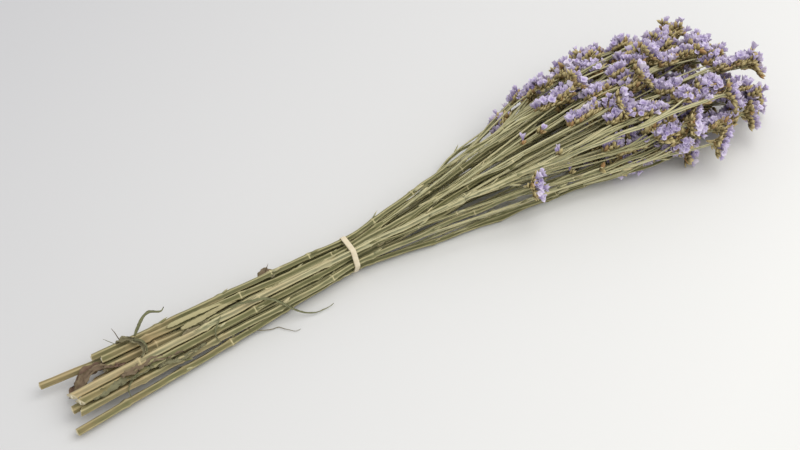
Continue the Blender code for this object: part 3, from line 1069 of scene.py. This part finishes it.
@dataclass
class WingedStem:
    """A stem with its branches: fibrous cores with thin wavy wings, knots with blades and a slanted cut."""

    number: int
    strands: list[Strand]
    sprigs: list[Sprig]
    patterns: Patterns
    random: np.random.Generator
    step: float = 4 * MM
    core: tuple[float, float] = (0.84, 0.56)
    wings: int = 4
    wing_half_angle: float = 0.20
    wander_x: tuple[float, float, float] = (-200 * MM, 0.0, 100 * MM)
    wander: tuple[float, float, float] = (1.0 * MM, 1.0 * MM, 2.6 * MM)
    brown_end: float = -262 * MM
    brown_fades_over: float = 420 * MM
    cut_slant: float = 0.9
    cut_rim: float = 0.6 * MM
    pith_share: float = 0.58
    knotless_tip: float = 22 * MM
    knot_spacing: tuple[float, float] = (30 * MM, 62 * MM)
    knot_half_length: float = 2.2 * MM
    knot_swell: float = 0.26
    ringed_share: float = 0.3
    first_blade: float = -170 * MM
    blade_length: tuple[float, float] = (6 * MM, 12 * MM)
    twig_radius: tuple[float, float] = (1.0 * MM, 0.6 * MM)

    def line(self, strand: Strand, knots: list[float]) -> Array:
        """Finds the strand's middle line, with its corners rounded and a little wander.

        Args:
            strand: The strand.
            knots: Where its knots are, which get points of their own.

        Returns:
            The line's points.
        """
        count = max(8, round((strand.end - strand.start) / self.step))
        points = np.array([strand.at(x) for x in np.linspace(strand.start, strand.end, count + 1)])
        points = smoothed(points, 22)
        wander = smoothed(self.random.normal(0, 1, points.shape) * [0, 1, 1], 12)
        fade = np.sin(np.linspace(0, math.pi, len(points)))[:, None] ** 0.5
        points += wander * fade * np.interp(points[:, :1], self.wander_x, self.wander)
        points[:, 2] = np.maximum(points[:, 2], strand.radius_at(points[:, 0]) * 0.95)
        beside = [k + offset for k in knots for offset in (-0.9 * MM, 0.0, 0.9 * MM)]
        x = np.unique(np.concatenate([points[:, 0], beside]))
        x = x[np.append(True, np.diff(x) > 0.3 * MM)]
        return np.stack([x, *(np.interp(x, points[:, 0], points[:, i]) for i in (1, 2))], axis=1)

    def knots(self, strand: Strand) -> list[float]:
        """Where along the strand its knots are."""
        places = strand.start + np.cumsum(self.random.uniform(*self.knot_spacing, 24))
        return [x for x in places if x < strand.end - self.knotless_tip]

    def section(self, wings: int) -> tuple[Array, Array]:
        """Lays out the section of a winged stem.

        Args:
            wings: How many wings it has.

        Returns:
            The angle of each point of the section, and how far out on a wing it is.
        """
        half, foot = self.wing_half_angle, self.wing_half_angle * 1.9
        points = [(-math.pi / wings, 0.0), (-foot, 0.12), (-half, 1.0), (half, 1.0), (foot, 0.12)]
        middles = np.arange(wings) * 2 * math.pi / wings
        angles = [middle + offset for middle in middles for offset, _ in points]
        return np.array(angles), np.array([out for _ in middles for _, out in points])

    def add_blades(self, bm: bmesh.types.BMesh, points: Array, knots: list[float], radius: float) -> None:
        """Adds the small pointed blade that sits at each knot.

        Args:
            bm: The stem's mesh, which has had nothing removed yet.
            points: The strand's middle line.
            knots: Where its knots are.
            radius: About how thick it is.
        """
        for x in knots:
            if x < self.first_blade:
                continue
            at = int(np.searchsorted(points[:, 0], x))
            at = min(max(at, 1), len(points) - 2)
            tangent = Vector(points[at + 1] - points[at - 1]).normalized()
            out = Vector((0, self.random.normal(0, 1), self.random.normal(0.5, 1)))
            out = (out - tangent * out.dot(tangent)).normalized()
            way = tangent + out * self.random.uniform(0.18, 0.5)
            length = self.random.uniform(*self.blade_length)
            place = Vector(points[at]) + out * radius * 0.7
            matrix = aimed(place, way, -out, length, self.random.uniform(0.35, 0.55))
            self.patterns.stamp(bm, self.patterns.bracts, matrix, self.random.uniform(0, 1), 0.6)

    def add_strand(self, bm: bmesh.types.BMesh, strand: Strand, points: Array, knots: list[float]) -> None:
        """Adds one winged stem or branch.

        Args:
            bm: The stem's mesh.
            strand: The strand.
            points: Its middle line.
            knots: Where its knots are.
        """
        angles, edge = self.section(self.wings if strand.parent is None else 3)
        count = len(points)
        radius = strand.radius_at(points[:, 0]) * self.random.uniform(0.94, 1.10)
        swell = sum(np.exp(-(((points[:, 0] - k) / self.knot_half_length) ** 2)) for k in knots)
        radius *= 1 + self.knot_swell * swell
        turn = self.random.uniform(0, 6.3) + self.random.uniform(-2.2, 2.2) * np.linspace(0, 1, count)
        wave = smoothed(self.random.uniform(0.55, 1.28, (count, len(angles))), 1)
        wide = self.random.uniform(0.85, 1.12, len(angles))
        core = np.interp(points[:, :1], [-0.24, 0.06], self.core)
        share = core + (1 - core) * edge * wave * wide
        rings = self.rings(points, radius[:, None] * share, turn[:, None] + angles)
        pale = np.zeros(count)
        ringed = [k for k in knots if self.random.uniform(0, 1) < self.ringed_share]
        pale[[int(np.argmin(np.abs(points[:, 0] - k))) for k in ringed]] = 1.65
        if strand.parent is None:
            slant = self.random.uniform(-self.cut_slant, self.cut_slant)
            rings[0, :, 0] += slant * (rings[0, :, 1] - points[0, 1])
            rings = np.concatenate([rings[:1], rings[:1] + [self.cut_rim, 0, 0], rings[1:]])
            edge = np.concatenate([np.full((1, len(angles)), 1.8), np.tile(edge, (count, 1))])
            points, pale = np.concatenate([points[:1], points]), np.concatenate([[0], pale])
            count += 1
        rings[..., 2] = np.maximum(rings[..., 2], 0.05 * MM)
        tone = np.full((count, len(angles)), self.random.uniform(0, 1))
        along = np.clip((points[:, 0] - self.brown_end) / self.brown_fades_over, 0, 1)
        growth = [tone, np.maximum(edge, pale[:, None]), np.broadcast_to(along[:, None], tone.shape)]
        loft(bm, rings, np.stack(growth, axis=-1))
        if strand.parent is None:
            self.add_pith(bm, rings[0].mean(axis=0) - np.array([0.15 * MM, 0, 0]), float(radius[0]))

    @staticmethod
    def rings(points: Array, reach: Array, turn: Array) -> Array:
        """Finds the rings of a section that follows a line.

        Args:
            points: The line.
            reach: How far each point of each ring is from it.
            turn: The angle of each point of each ring.

        Returns:
            The rings.
        """
        side, up = frames_along(points)
        return points[:, None] + reach[..., None] * (
            np.cos(turn)[..., None] * side[:, None] + np.sin(turn)[..., None] * up[:, None]
        )

    def add_pith(self, bm: bmesh.types.BMesh, middle: Array, radius: float) -> None:
        """Adds the pale pith that shows in the cut.

        Args:
            bm: The stem's mesh.
            middle: The middle of the cut.
            radius: The stem's radius over its wings.
        """
        layer = bm.verts.layers.float_color["growth"]
        turn = Matrix.Translation(middle) @ Matrix.Rotation(math.pi / 2, 4, "Y")
        ball = radius * self.pith_share
        made = bmesh.ops.create_uvsphere(bm, u_segments=10, v_segments=5, radius=ball, matrix=turn)
        for vertex in made["verts"]:
            vertex.co.x = middle[0] + (vertex.co.x - middle[0]) * 0.3
            vertex[layer] = (0.5, 2.0, 0.0, 1.0)

    def add_twig(self, bm: bmesh.types.BMesh, sprig: Sprig) -> None:
        """Adds the thin twig of a sprig.

        Args:
            bm: The stem's mesh.
            sprig: The sprig.
        """
        points = smoothed(sprig.line, 3)
        turn = np.tile(np.arange(5) * 2 * math.pi / 5, (len(points), 1))
        reach = np.linspace(*self.twig_radius, len(points))[:, None]
        reach = reach * self.random.uniform(0.8, 1.2, turn.shape)
        growth = np.tile([self.random.uniform(0.2, 1), 0.6, 0.9], (*turn.shape, 1))
        loft(bm, self.rings(points, reach, turn), growth)

    def make(self, finish: bpy.types.Material) -> bpy.types.Object:
        """The whole stem as one piece.

        Args:
            finish: The stem's material.

        Returns:
            The piece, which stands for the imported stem.
        """
        bm = new_bmesh()
        knotted = [(s, self.knots(s)) for s in self.strands]
        plans = [(s, self.line(s, knots), knots) for s, knots in knotted]
        for strand, points, knots in plans:
            self.add_blades(bm, points, knots, float(strand.radius_at(0.1)))
        for strand, points, knots in plans:
            self.add_strand(bm, strand, points, knots)
        for sprig in self.sprigs:
            self.add_twig(bm, sprig)
        node = f"stem_{self.number + 1:02d}"
        return hand_over(bm, f"{node}_winged", finish, [node])


@dataclass
class SpikeMaker:
    """Dresses a spike: plump bracts in two rows along it and papery calyxes standing above them."""

    patterns: Patterns
    random: np.random.Generator
    spacing: float = 3.8 * MM
    bract_length: float = 7.0 * MM
    calyx_length: float = 6.6 * MM
    calyx_lift: float = 3.1 * MM
    open_share: float = 0.7
    bract_ways: tuple[tuple[float, float, float, float], ...] = (
        (0.60, 0.30, 0.66, 1.0), (0.55, 0.80, 0.34, 0.82))

    def dress(
        self, bracts: bmesh.types.BMesh, calyxes: bmesh.types.BMesh, line: Array, up: Vector,
        dark: float = 0.0,
    ) -> None:
        """Adds the spikelets of one spike.

        Args:
            bracts: The bracts' mesh.
            calyxes: The calyxes' mesh.
            line: The flowering part of the spike.
            up: The side the calyxes stand on.
            dark: How far the calyxes have darkened.
        """
        steps = np.linalg.norm(np.diff(line, axis=0), axis=1)
        reach = np.concatenate([[0.0], np.cumsum(steps)])
        for number, at in enumerate(np.arange(0.0, reach[-1] + 1e-6, self.spacing / 2)):
            pair = (at, at + 1 * MM)
            here, ahead = (Vector([np.interp(v, reach, line[:, i]) for i in range(3)]) for v in pair)
            tangent = ahead - here if (ahead - here).length > 1e-5 else Vector(line[-1] - line[-2])
            self.spikelet(bracts, calyxes, here, tangent.normalized(), up, 1 if number % 2 else -1, dark)

    def spikelet(
        self, bracts: bmesh.types.BMesh, calyxes: bmesh.types.BMesh, place: Vector, tangent: Vector,
        up: Vector, side: int, dark: float,
    ) -> None:
        """Adds one spikelet: two bracts and, unless its flower never opened, the calyx that stands in them.

        Args:
            bracts: The bracts' mesh.
            calyxes: The calyxes' mesh.
            place: Where it sits.
            tangent: The way its spike runs.
            up: The side the calyxes stand on.
            side: Which row it is in, -1 or 1.
            dark: How far the calyx has darkened.
        """
        r = self.random
        lift = (up - tangent * up.dot(tangent)).normalized()
        across = tangent.cross(lift) * side
        tone = r.uniform(0, 0.75)
        for forward, raised, out, size in self.bract_ways:
            way = tangent * forward + lift * raised + across * out + Vector(r.normal(0, 0.10, 3))
            length = self.bract_length * size * r.uniform(0.85, 1.15)
            matrix = aimed(place, way, lift, length, r.uniform(1.0, 1.3))
            self.patterns.stamp(bracts, self.patterns.bracts, matrix, tone + r.uniform(0, 0.25))
        if not dark and r.uniform(0, 1) > self.open_share:
            return
        base = place + (tangent * 0.4 + lift * 0.8 + across * 0.4) * self.calyx_lift
        way = lift * 0.90 + tangent * 0.42 + across * 0.38 + Vector(r.normal(0, 0.18, 3))
        length = self.calyx_length * r.uniform(0.84, 1.10)
        matrix = aimed(base, way, Vector(r.normal(0, 1, 3)), length, r.uniform(0.88, 1.08))
        tone = r.uniform(0, 1)
        faded = dark if dark else r.uniform(0, 1) ** 3
        self.patterns.stamp(calyxes, self.patterns.calyxes, matrix, tone, faded)


@dataclass
class FlowerHead:
    """One head: spikes that rise together and arch outwards, with the calyxes along their upper side."""

    frame: Matrix
    radius: float
    maker: SpikeMaker
    random: np.random.Generator
    spikes: int = 5
    arc_points: int = 8
    bare_points: int = 3
    arch: float = 92.0
    twist: float = 0.35
    spread: float = 0.74
    root: float = 0.66
    rise: float = 0.84

    def arc(self, azimuth: float, reach: float) -> Array:
        """Finds the line of one spike.

        Args:
            azimuth: The side it leans to.
            reach: How long it is beside the others.

        Returns:
            Its points.
        """
        turn = np.radians(np.linspace(0, self.arch, self.arc_points))
        out = self.spread * self.radius * reach * (1 - np.cos(turn))
        height = -self.root * self.radius + self.rise * self.radius * reach * np.sin(turn)
        swing = azimuth + self.twist * np.linspace(0, 1, self.arc_points)
        local = np.stack([out * np.cos(swing), out * np.sin(swing), height], axis=1)
        return np.array([self.frame @ Vector(p) for p in local])

    def build(self, bracts: bmesh.types.BMesh, calyxes: bmesh.types.BMesh, dark: float) -> list[Array]:
        """Adds the spikelets of the whole head.

        Args:
            bracts: The bracts' mesh.
            calyxes: The calyxes' mesh.
            dark: How far the calyxes have darkened.

        Returns:
            The lines of its ribs, which are drawn once every spikelet is in.
        """
        r = self.random
        up = (self.frame.to_3x3() @ Vector((0, 0, 1))).normalized()
        spin = r.uniform(0, 6.3)
        ribs = []
        for spike in range(self.spikes):
            azimuth = spin + spike * 2 * math.pi / self.spikes + r.uniform(-0.25, 0.25)
            line = self.arc(azimuth, r.uniform(0.86, 1.04))
            ribs.append(line)
            self.maker.dress(bracts, calyxes, line[self.bare_points :], up, dark)
        centre = np.array([self.frame @ Vector((0, 0, z * self.radius)) for z in (-0.45, -0.05)])
        aside = (self.frame.to_3x3() @ Vector((math.cos(spin), math.sin(spin), 0))).normalized()
        for place in (Vector(centre[0]).lerp(Vector(centre[1]), share) for share in (0.3, 0.65, 1.0)):
            self.maker.spikelet(bracts, calyxes, place, aside, up, 1, dark)
        return ribs


@dataclass(frozen=True)
class WitheredCluster:
    """A small dark cluster that hangs beside a head, given by the head's number, its place and its radius."""

    head: int
    place: Place
    radius: float


@dataclass
class Flowers:
    """All the heads, each as one piece of bracts and ribs and one of calyxes, with its side sprigs."""

    layout: BunchLayout
    sprigs: list[Sprig]
    maker: SpikeMaker
    random: np.random.Generator
    withered: tuple[WitheredCluster, ...] = (
        WitheredCluster(5, (350 * MM, -19 * MM, 47 * MM), 6.5 * MM),
        WitheredCluster(4, (379 * MM, -24 * MM, 22 * MM), 5.0 * MM),
    )
    withered_way: Place = (-0.25, -0.35, 0.9)
    withered_dark: float = 2.0
    spike_side: Place = (0.15, 0.65, 0.3)
    rib_radius: tuple[float, float] = (0.85 * MM, 0.45 * MM)

    def add_rib(self, bm: bmesh.types.BMesh, line: Array) -> None:
        """Adds the thin rib that a spike's bracts sit on.

        Args:
            bm: The bracts' mesh.
            line: The rib's line.
        """
        turn = np.tile(np.arange(5) * 2 * math.pi / 5, (len(line), 1))
        reach = np.linspace(*self.rib_radius, len(line))[:, None] * np.ones_like(turn)
        rings = WingedStem.rings(smoothed(line, 1), reach, turn)
        rings[..., 2] = np.maximum(rings[..., 2], FLOOR_GAP)
        loft(bm, rings, np.tile([0.2, 0.8, 0.75], (*turn.shape, 1)))

    def add_sprig(self, bracts: bmesh.types.BMesh, calyxes: bmesh.types.BMesh, sprig: Sprig) -> list[Array]:
        """Dresses the spikes of one side twig.

        Args:
            bracts: The bracts' mesh.
            calyxes: The calyxes' mesh.
            sprig: The twig.

        Returns:
            The lines of the ribs of its forks, which are drawn once every spikelet is in.
        """
        middle = self.layout.envelope.place(0, 0, sprig.line[-1, 0])
        out = Vector((0, *(sprig.line[-1, 1:] - middle))).normalized()
        up = out * 0.35 + Vector(self.spike_side) + Vector(self.random.normal(0, 0.35, 3))
        forks = sprig.forks(self.random, up)
        for line in [sprig.line[sprig.flowers_from :], *forks]:
            self.maker.dress(bracts, calyxes, line, up)
        return forks

    def make(self, bract: bpy.types.Material, floret: bpy.types.Material) -> None:
        """Builds every head.

        Args:
            bract: The bracts' material.
            floret: The calyxes' material.
        """
        for number, (strand, placed) in enumerate(zip(self.layout.strands, self.layout.frames), start=1):
            bracts, calyxes = new_bmesh(), new_bmesh()
            ribs = FlowerHead(placed, strand.head_radius, self.maker, self.random).build(bracts, calyxes, 0.0)
            for cluster in (c for c in self.withered if c.head == number):
                turn = Vector(self.withered_way).to_track_quat("Z", "Y").to_matrix().to_4x4()
                stood = Matrix.Translation(cluster.place) @ turn
                dark = FlowerHead(stood, cluster.radius, self.maker, self.random)
                ribs += dark.build(bracts, calyxes, self.withered_dark)
            for sprig in (s for s in self.sprigs if s.strand is strand):
                ribs += self.add_sprig(bracts, calyxes, sprig)
            for line in ribs:
                self.add_rib(bracts, line)
            node = f"head_{number:02d}"
            hand_over(bracts, f"{node}_bracts", bract, [node])
            hand_over(calyxes, f"{node}_calyxes", floret, [node], smooth=False)
        log.info("flower heads: %d, side sprigs: %d", len(self.layout.strands), len(self.sprigs))


class LeafKind(Enum):
    """The shapes that the dead leaves have dried to, as curl, crumpling and thickness in mm."""

    CRUMPLED = (1.1, 1.5, 0.35)
    STRAP = (1.9, 0.25, 0.3)
    TENDRIL = (2.6, 0.12, 0.35)
    SPLINTER = (0.5, 0.25, 0.7)


@dataclass(frozen=True)
class DeadLeaf:
    """One leaf remnant: its kind, width, colour tone and path, in millimetres."""

    name: str
    kind: LeafKind
    width: float
    tone: float
    path: tuple[Place, ...]


DEAD_LEAVES = (
    DeadLeaf("claw", LeafKind.CRUMPLED, 6.5, 0.25, (
        (-196, 5, 23), (-191, 4, 25), (-187, 0, 26.5), (-183, -5, 27), (-180, -10, 26), (-182, -16, 25),
        (-186, -18, 25))),
    DeadLeaf("claw_hook", LeafKind.STRAP, 3.4, 0.15, (
        (-187, 0, 25), (-183, -3, 28), (-179, -8, 28), (-178, -13, 26), (-181, -17, 25))),
    DeadLeaf("loop", LeafKind.STRAP, 4.6, 0.05, (
        (-182, 5, 22), (-178, 8, 24), (-173, 12, 27), (-168, 15, 29), (-163, 15, 29), (-159, 12, 28),
        (-155, 12, 27), (-153, 15, 28))),
    DeadLeaf("withered", LeafKind.CRUMPLED, 11.0, 0.5, (
        (-243, -13, 7), (-236, -9, 9), (-229, -5, 12), (-222, -3, 14), (-214, -5, 16), (-206, -10, 18),
        (-198, -15, 21))),
    DeadLeaf("withered_fold", LeafKind.CRUMPLED, 8.0, 0.42, (
        (-238, -15, 12), (-231, -10, 16), (-224, -6, 17), (-216, -7, 19), (-208, -12, 22))),
    DeadLeaf("dark_thread", LeafKind.TENDRIL, 1.5, 0.38, (
        (-224, -2, 13), (-217, 0, 15), (-211, -4, 20), (-205, -5, 22), (-199, -4, 23), (-193, -3, 24))),
    DeadLeaf("spur", LeafKind.TENDRIL, 1.8, 0.45, (
        (-193, 8, 19), (-194, 11, 22), (-194.5, 13, 26), (-196, 15, 29))),
    DeadLeaf("spur_wisp", LeafKind.TENDRIL, 0.9, 0.1, (
        (-197, 9, 17), (-201, 12, 19), (-204, 15, 21))),
    DeadLeaf("strap_curl", LeafKind.STRAP, 3.3, 0.05, (
        (-108, -8, 24), (-100, -9.5, 25.5), (-92, -11.5, 25.5), (-84, -12.5, 24.5), (-76, -15, 22),
        (-69, -20, 17), (-63, -23, 10), (-56, -26, 4), (-47, -29.5, 1.6), (-39, -29.5, 1.4),
        (-33, -30, 2.2), (-30, -29, 3))),
    DeadLeaf("wavy_thread", LeafKind.TENDRIL, 1.4, 0.3, (
        (-110, -19, 12), (-104, -21, 10), (-99, -23, 7), (-92, -24.5, 3), (-86, -25.5, 1),
        (-81.6, -27, 0.9), (-77, -26, 0.9), (-74.9, -31, 0.9), (-71.2, -33, 0.9), (-68, -38, 0.9),
        (-63.4, -37, 0.9))),
    DeadLeaf("lower_curl", LeafKind.STRAP, 2.0, 0.1, (
        (-192, -26, 20), (-197, -28, 19), (-202, -31, 17), (-205, -33.5, 13), (-204, -36, 9),
        (-202, -37, 5))),
    DeadLeaf("side_curl", LeafKind.STRAP, 2.2, 0.12, (
        (-118, -12, 24), (-122, -16, 23), (-127, -20, 20), (-128, -24, 16), (-125, -26, 12))),
    DeadLeaf("mat_one", LeafKind.CRUMPLED, 8.0, 0.18, (
        (-230, -30, 18), (-220, -29.5, 19), (-210, -28, 19.5), (-200, -27, 19), (-190, -26, 18),
        (-180, -25, 18.5))),
    DeadLeaf("mat_two", LeafKind.CRUMPLED, 7.0, 0.4, (
        (-205, -25, 21), (-195, -24, 21), (-185, -22, 21), (-175, -22, 20), (-165, -22, 18.5),
        (-155, -22, 17.5))),
    DeadLeaf("mat_three", LeafKind.CRUMPLED, 6.0, 0.2, (
        (-176, -26, 17), (-166, -26, 16), (-156, -27, 14.5), (-146, -25, 15), (-136, -23, 16))),
    DeadLeaf("mat_four", LeafKind.CRUMPLED, 5.0, 0.3, (
        (-152, -14, 22), (-144, -13, 22), (-136, -12, 22.5), (-128, -12, 22.5), (-120, -11, 23))),
    DeadLeaf("split_upper", LeafKind.SPLINTER, 4.4, 0.85, (
        (-158, -2, 25), (-148, -1.5, 25.2), (-138, -1, 25), (-128, -0.5, 24.5), (-116, 0, 23),
        (-108, 0.5, 21))),
    DeadLeaf("split_lower", LeafKind.SPLINTER, 4.8, 0.82, (
        (-149, -7.5, 23.2), (-140, -7, 23.5), (-130, -6, 23.2), (-120, -4, 22.6), (-110, -2, 21.5),
        (-100, -1, 20))),
    DeadLeaf("collar", LeafKind.CRUMPLED, 8.0, 0.4, (
        (-76, 9, 18), (-72, 11, 20), (-68, 13, 20), (-64, 13, 19), (-60, 12, 17))),
    DeadLeaf("collar_fold", LeafKind.CRUMPLED, 6.0, 0.25, (
        (-73, 15, 13), (-70, 12, 18), (-67, 8, 21), (-65, 4, 22))),
    DeadLeaf("collar_spur", LeafKind.TENDRIL, 1.8, 0.4, (
        (-69, 12, 19), (-66, 15, 21), (-63, 18, 22))),
)


@dataclass
class LeafRemains:
    """The dead leaves, curls and threads that still cling to the lower stems."""

    random: np.random.Generator
    step: float = 1.4 * MM
    across: int = 6
    taper_at: tuple[float, ...] = (0, 0.12, 0.6, 1)
    taper: tuple[float, ...] = (0.45, 1.0, 0.9, 0.22)

    def add(self, bm: bmesh.types.BMesh, leaf: DeadLeaf) -> None:
        """Adds one remnant as a thin closed strip, curled across and crumpled along.

        Args:
            bm: The leaves' mesh.
            leaf: The remnant.
        """
        curl, crumpling, thickness = leaf.kind.value
        path = np.array(leaf.path) * MM
        reach = np.concatenate([[0.0], np.cumsum(np.linalg.norm(np.diff(path, axis=0), axis=1))])
        count = max(8, round(reach[-1] / self.step))
        at = np.linspace(0, reach[-1], count)
        points = smoothed(np.stack([np.interp(at, reach, path[:, i]) for i in range(3)], axis=1), 6)
        side, up = frames_along(points)
        share = np.linspace(0, 1, count)
        taper = np.interp(share, self.taper_at, self.taper)
        half = taper * self.random.uniform(0.85, 1.15, count) * leaf.width * MM / 2
        c = np.linspace(-1, 1, self.across)
        sideways = np.sin(c * curl) / curl * half[:, None]
        lifted = (1 - np.cos(c * curl)) / curl * half[:, None]
        noise = self.random.normal(0, 1, (count, self.across, 3))
        noise[1:-1] = (noise[:-2] + noise[1:-1] + noise[2:]) / 2
        middle = points[:, None] + sideways[..., None] * side[:, None] + lifted[..., None] * up[:, None]
        middle += noise * crumpling * 0.45 * MM * np.minimum(1, leaf.width / 6)
        skin = up[:, None] * thickness * MM / 2
        rings = np.concatenate([middle + skin, (middle - skin)[:, ::-1]], axis=1)
        rings[..., 2] = np.maximum(rings[..., 2], FLOOR_GAP)
        shape = rings.shape[:2]
        edge = np.broadcast_to(np.concatenate([np.abs(c), np.abs(c)]), shape)
        loft(bm, rings, np.stack([np.full(shape, leaf.tone), edge, np.zeros(shape)], axis=-1))

    def make(self, finish: bpy.types.Material) -> None:
        """Builds each remnant as a piece of its own.

        Args:
            finish: Their material.
        """
        for leaf in DEAD_LEAVES:
            bm = new_bmesh()
            self.add(bm, leaf)
            hand_over(bm, f"dead_leaf_{leaf.name}", finish)
        log.info("dead leaves: %d", len(DEAD_LEAVES))


@dataclass
class ElasticBand:
    """The flat elastic: a tight rounded strip round all the stems where x is 0."""

    layout: BunchLayout
    width: float = 4.5 * MM
    thickness: float = 1.1 * MM
    clearance: float = 0.2 * MM
    points: int = 96
    rounded_side: tuple[tuple[float, float], ...] = ((-1.0, 0.0), (-1.0, 0.65), (-0.88, 0.93), (-0.5, 1.0))

    def outline(self) -> Array:
        """Draws a tight line round the stems.

        Returns:
            The band's inner outline, as (y, z).
        """
        half = self.width / 2
        crossing = [s for s in self.layout.strands if s.start < -self.width and s.end > self.width]
        discs = [(*s.at(x)[1:], float(s.radius_at(0.0))) for s in crossing for x in (-half, half)]
        turn = np.arange(self.points) * 2 * math.pi / self.points
        normals = np.stack([np.cos(turn), np.sin(turn)], axis=1)
        reach = np.array([max(n @ np.array(d[:2]) + d[2] for d in discs) for n in normals]) + self.clearance
        wrapped = np.concatenate([reach[-1:], reach, reach[:1]])
        slope = np.gradient(wrapped)[1:-1] * self.points / (2 * math.pi)
        across = np.stack([-normals[:, 1], normals[:, 0]], axis=1)
        outline = normals * reach[:, None] + across * slope[:, None]
        outline[:, 1] = np.maximum(outline[:, 1], self.thickness)
        return outline

    def make(self, finish: bpy.types.Material) -> bpy.types.Object:
        """Builds the band.

        Args:
            finish: Its material.

        Returns:
            The piece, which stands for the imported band.
        """
        inner = self.outline()
        after, before = np.roll(inner, -1, axis=0), np.roll(inner, 1, axis=0)
        tangent = after - before
        tangent /= np.maximum(np.linalg.norm(tangent, axis=1), 1e-9)[:, None]
        outward = np.stack([tangent[:, 1], -tangent[:, 0]], axis=1)
        half = self.width / 2
        section = [*self.rounded_side, *((-across, out) for across, out in reversed(self.rounded_side))]
        rings = np.zeros((self.points, len(section), 3))
        for i, (across, out) in enumerate(section):
            rings[:, i, 0] = across * half
            rings[:, i, 1:] = inner + outward * out * self.thickness
        rings[..., 2] = np.maximum(rings[..., 2], 0.0)
        bm = new_bmesh()
        loft(bm, rings, np.full((*rings.shape[:2], 3), 0.5), closed=True)
        return hand_over(bm, "flat_elastic_band", finish, ["elastic_band"])


@dataclass
class Studio:
    """The pale floor, the soft light and the camera at the photograph's angle."""

    azimuth: float = -29.5
    elevation: float = 50.0
    distance: float = 1.205
    field_of_view: float = 30.0
    target: Place = (0.048, 0.003, 0.02)
    floor_size: float = 6.0
    # painted light: the floor's colour is darker far off and paler near, as the light falls off
    floor_far_painted_dim: Colour = (0.635, 0.635, 0.645)
    floor_near_painted_lit: Colour = (0.835, 0.835, 0.815)
    room: Colour = (0.985, 0.985, 1.0)
    room_strength: float = 0.73
    window: Colour = (1.0, 0.985, 0.95)
    window_place: Place = (0.75, -0.35, 1.6)
    window_size: float = 1.6
    window_power: float = 16.0

    def camera(self) -> None:
        """Places the camera."""
        data = bpy.data.cameras.new("camera")
        data.sensor_width = 36.0
        data.lens = 18.0 / math.tan(math.radians(self.field_of_view / 2))
        camera = bpy.data.objects.new("camera", data)
        a, e = math.radians(self.azimuth), math.radians(self.elevation)
        back = Vector((math.sin(a) * math.cos(e), -math.cos(a) * math.cos(e), math.sin(e)))
        camera.location = Vector(self.target) + back * self.distance
        camera.rotation_euler = back.to_track_quat("Z", "Y").to_euler()
        bpy.context.scene.collection.objects.link(camera)
        bpy.context.scene.camera = camera

    def floor(self) -> None:
        """Lays the floor, with painted light: darker far off, paler and warmer towards +X and -Y, the window's
        side.
        """
        bm = bmesh.new()
        bmesh.ops.create_grid(bm, x_segments=2, y_segments=2, size=self.floor_size)
        mesh = bpy.data.meshes.new("floor")
        bm.to_mesh(mesh)
        bm.free()
        b = ShaderBuilder("pale_floor", 0.9, Specular_IOR_Level=0.1)
        place = b.node("ShaderNodeTexCoord", {}, {}, "Object")
        along = b.node("ShaderNodeSeparateXYZ", {}, {"Vector": place})
        # Painted light across the floor: paler towards +X and -Y, the window's side.
        towards = (along * 0.55 - along.output("Y") * 0.95 + 0.6).clamped()
        b.feed("Base Color", b.ramp(towards, [(0.1, self.floor_far_painted_dim), (0.95, self.floor_near_painted_lit)]))
        mesh.materials.append(b.material)
        floor = bpy.data.objects.new("floor", mesh)
        bpy.context.scene.collection.objects.link(floor)

    def light(self) -> None:
        """Hangs a broad soft light over the bunch and lights the room evenly."""
        world = bpy.data.worlds.new("room")
        world.use_nodes = True
        background = world.node_tree.nodes["Background"]
        background.inputs["Color"].default_value = (*self.room, 1.0)
        background.inputs["Strength"].default_value = self.room_strength
        bpy.context.scene.world = world
        bpy.context.scene.view_settings.view_transform = "Standard"
        data = bpy.data.lights.new("window", "AREA")
        data.size = self.window_size
        data.energy = self.window_power
        data.color = self.window
        lamp = bpy.data.objects.new("window", data)
        lamp.location = self.window_place
        away = Vector(self.window_place) - Vector(self.target)
        lamp.rotation_euler = away.to_track_quat("Z", "Y").to_euler()
        bpy.context.scene.collection.objects.link(lamp)


def main() -> None:
    """Builds the dressed bunch, piece by piece."""
    logging.basicConfig(level=logging.INFO, format="%(name)s: %(message)s")
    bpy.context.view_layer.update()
    log.info("packed nodes: %d", len(frame["nodes"]))
    studio = Studio()
    studio.camera()
    studio.floor()
    studio.light()
    layout = BunchLayout()
    layout.build()
    patterns = Patterns(np.random.default_rng(5))
    sprigs = SprigPlan(layout, np.random.default_rng(6)).sprigs()
    stem_finish = DriedStemFinish().make()
    for number in range(layout.stems):
        own = [s for s in layout.strands if s.stem == number]
        twigs = [s for s in sprigs if s.strand in own]
        WingedStem(number, own, twigs, patterns, np.random.default_rng(40 + number)).make(stem_finish)
    log.info("winged stems: %d", layout.stems)
    flower_random = np.random.default_rng(7)
    flowers = Flowers(layout, sprigs, SpikeMaker(patterns, flower_random), flower_random)
    flowers.make(BractFinish().make(), FloretFinish().make())
    patterns.clear()
    LeafRemains(np.random.default_rng(8)).make(LeafFinish().make())
    ElasticBand(layout).make(ElasticFinish().make())
    log.info("elastic band")
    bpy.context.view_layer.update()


if __name__ == "__main__":
    main()
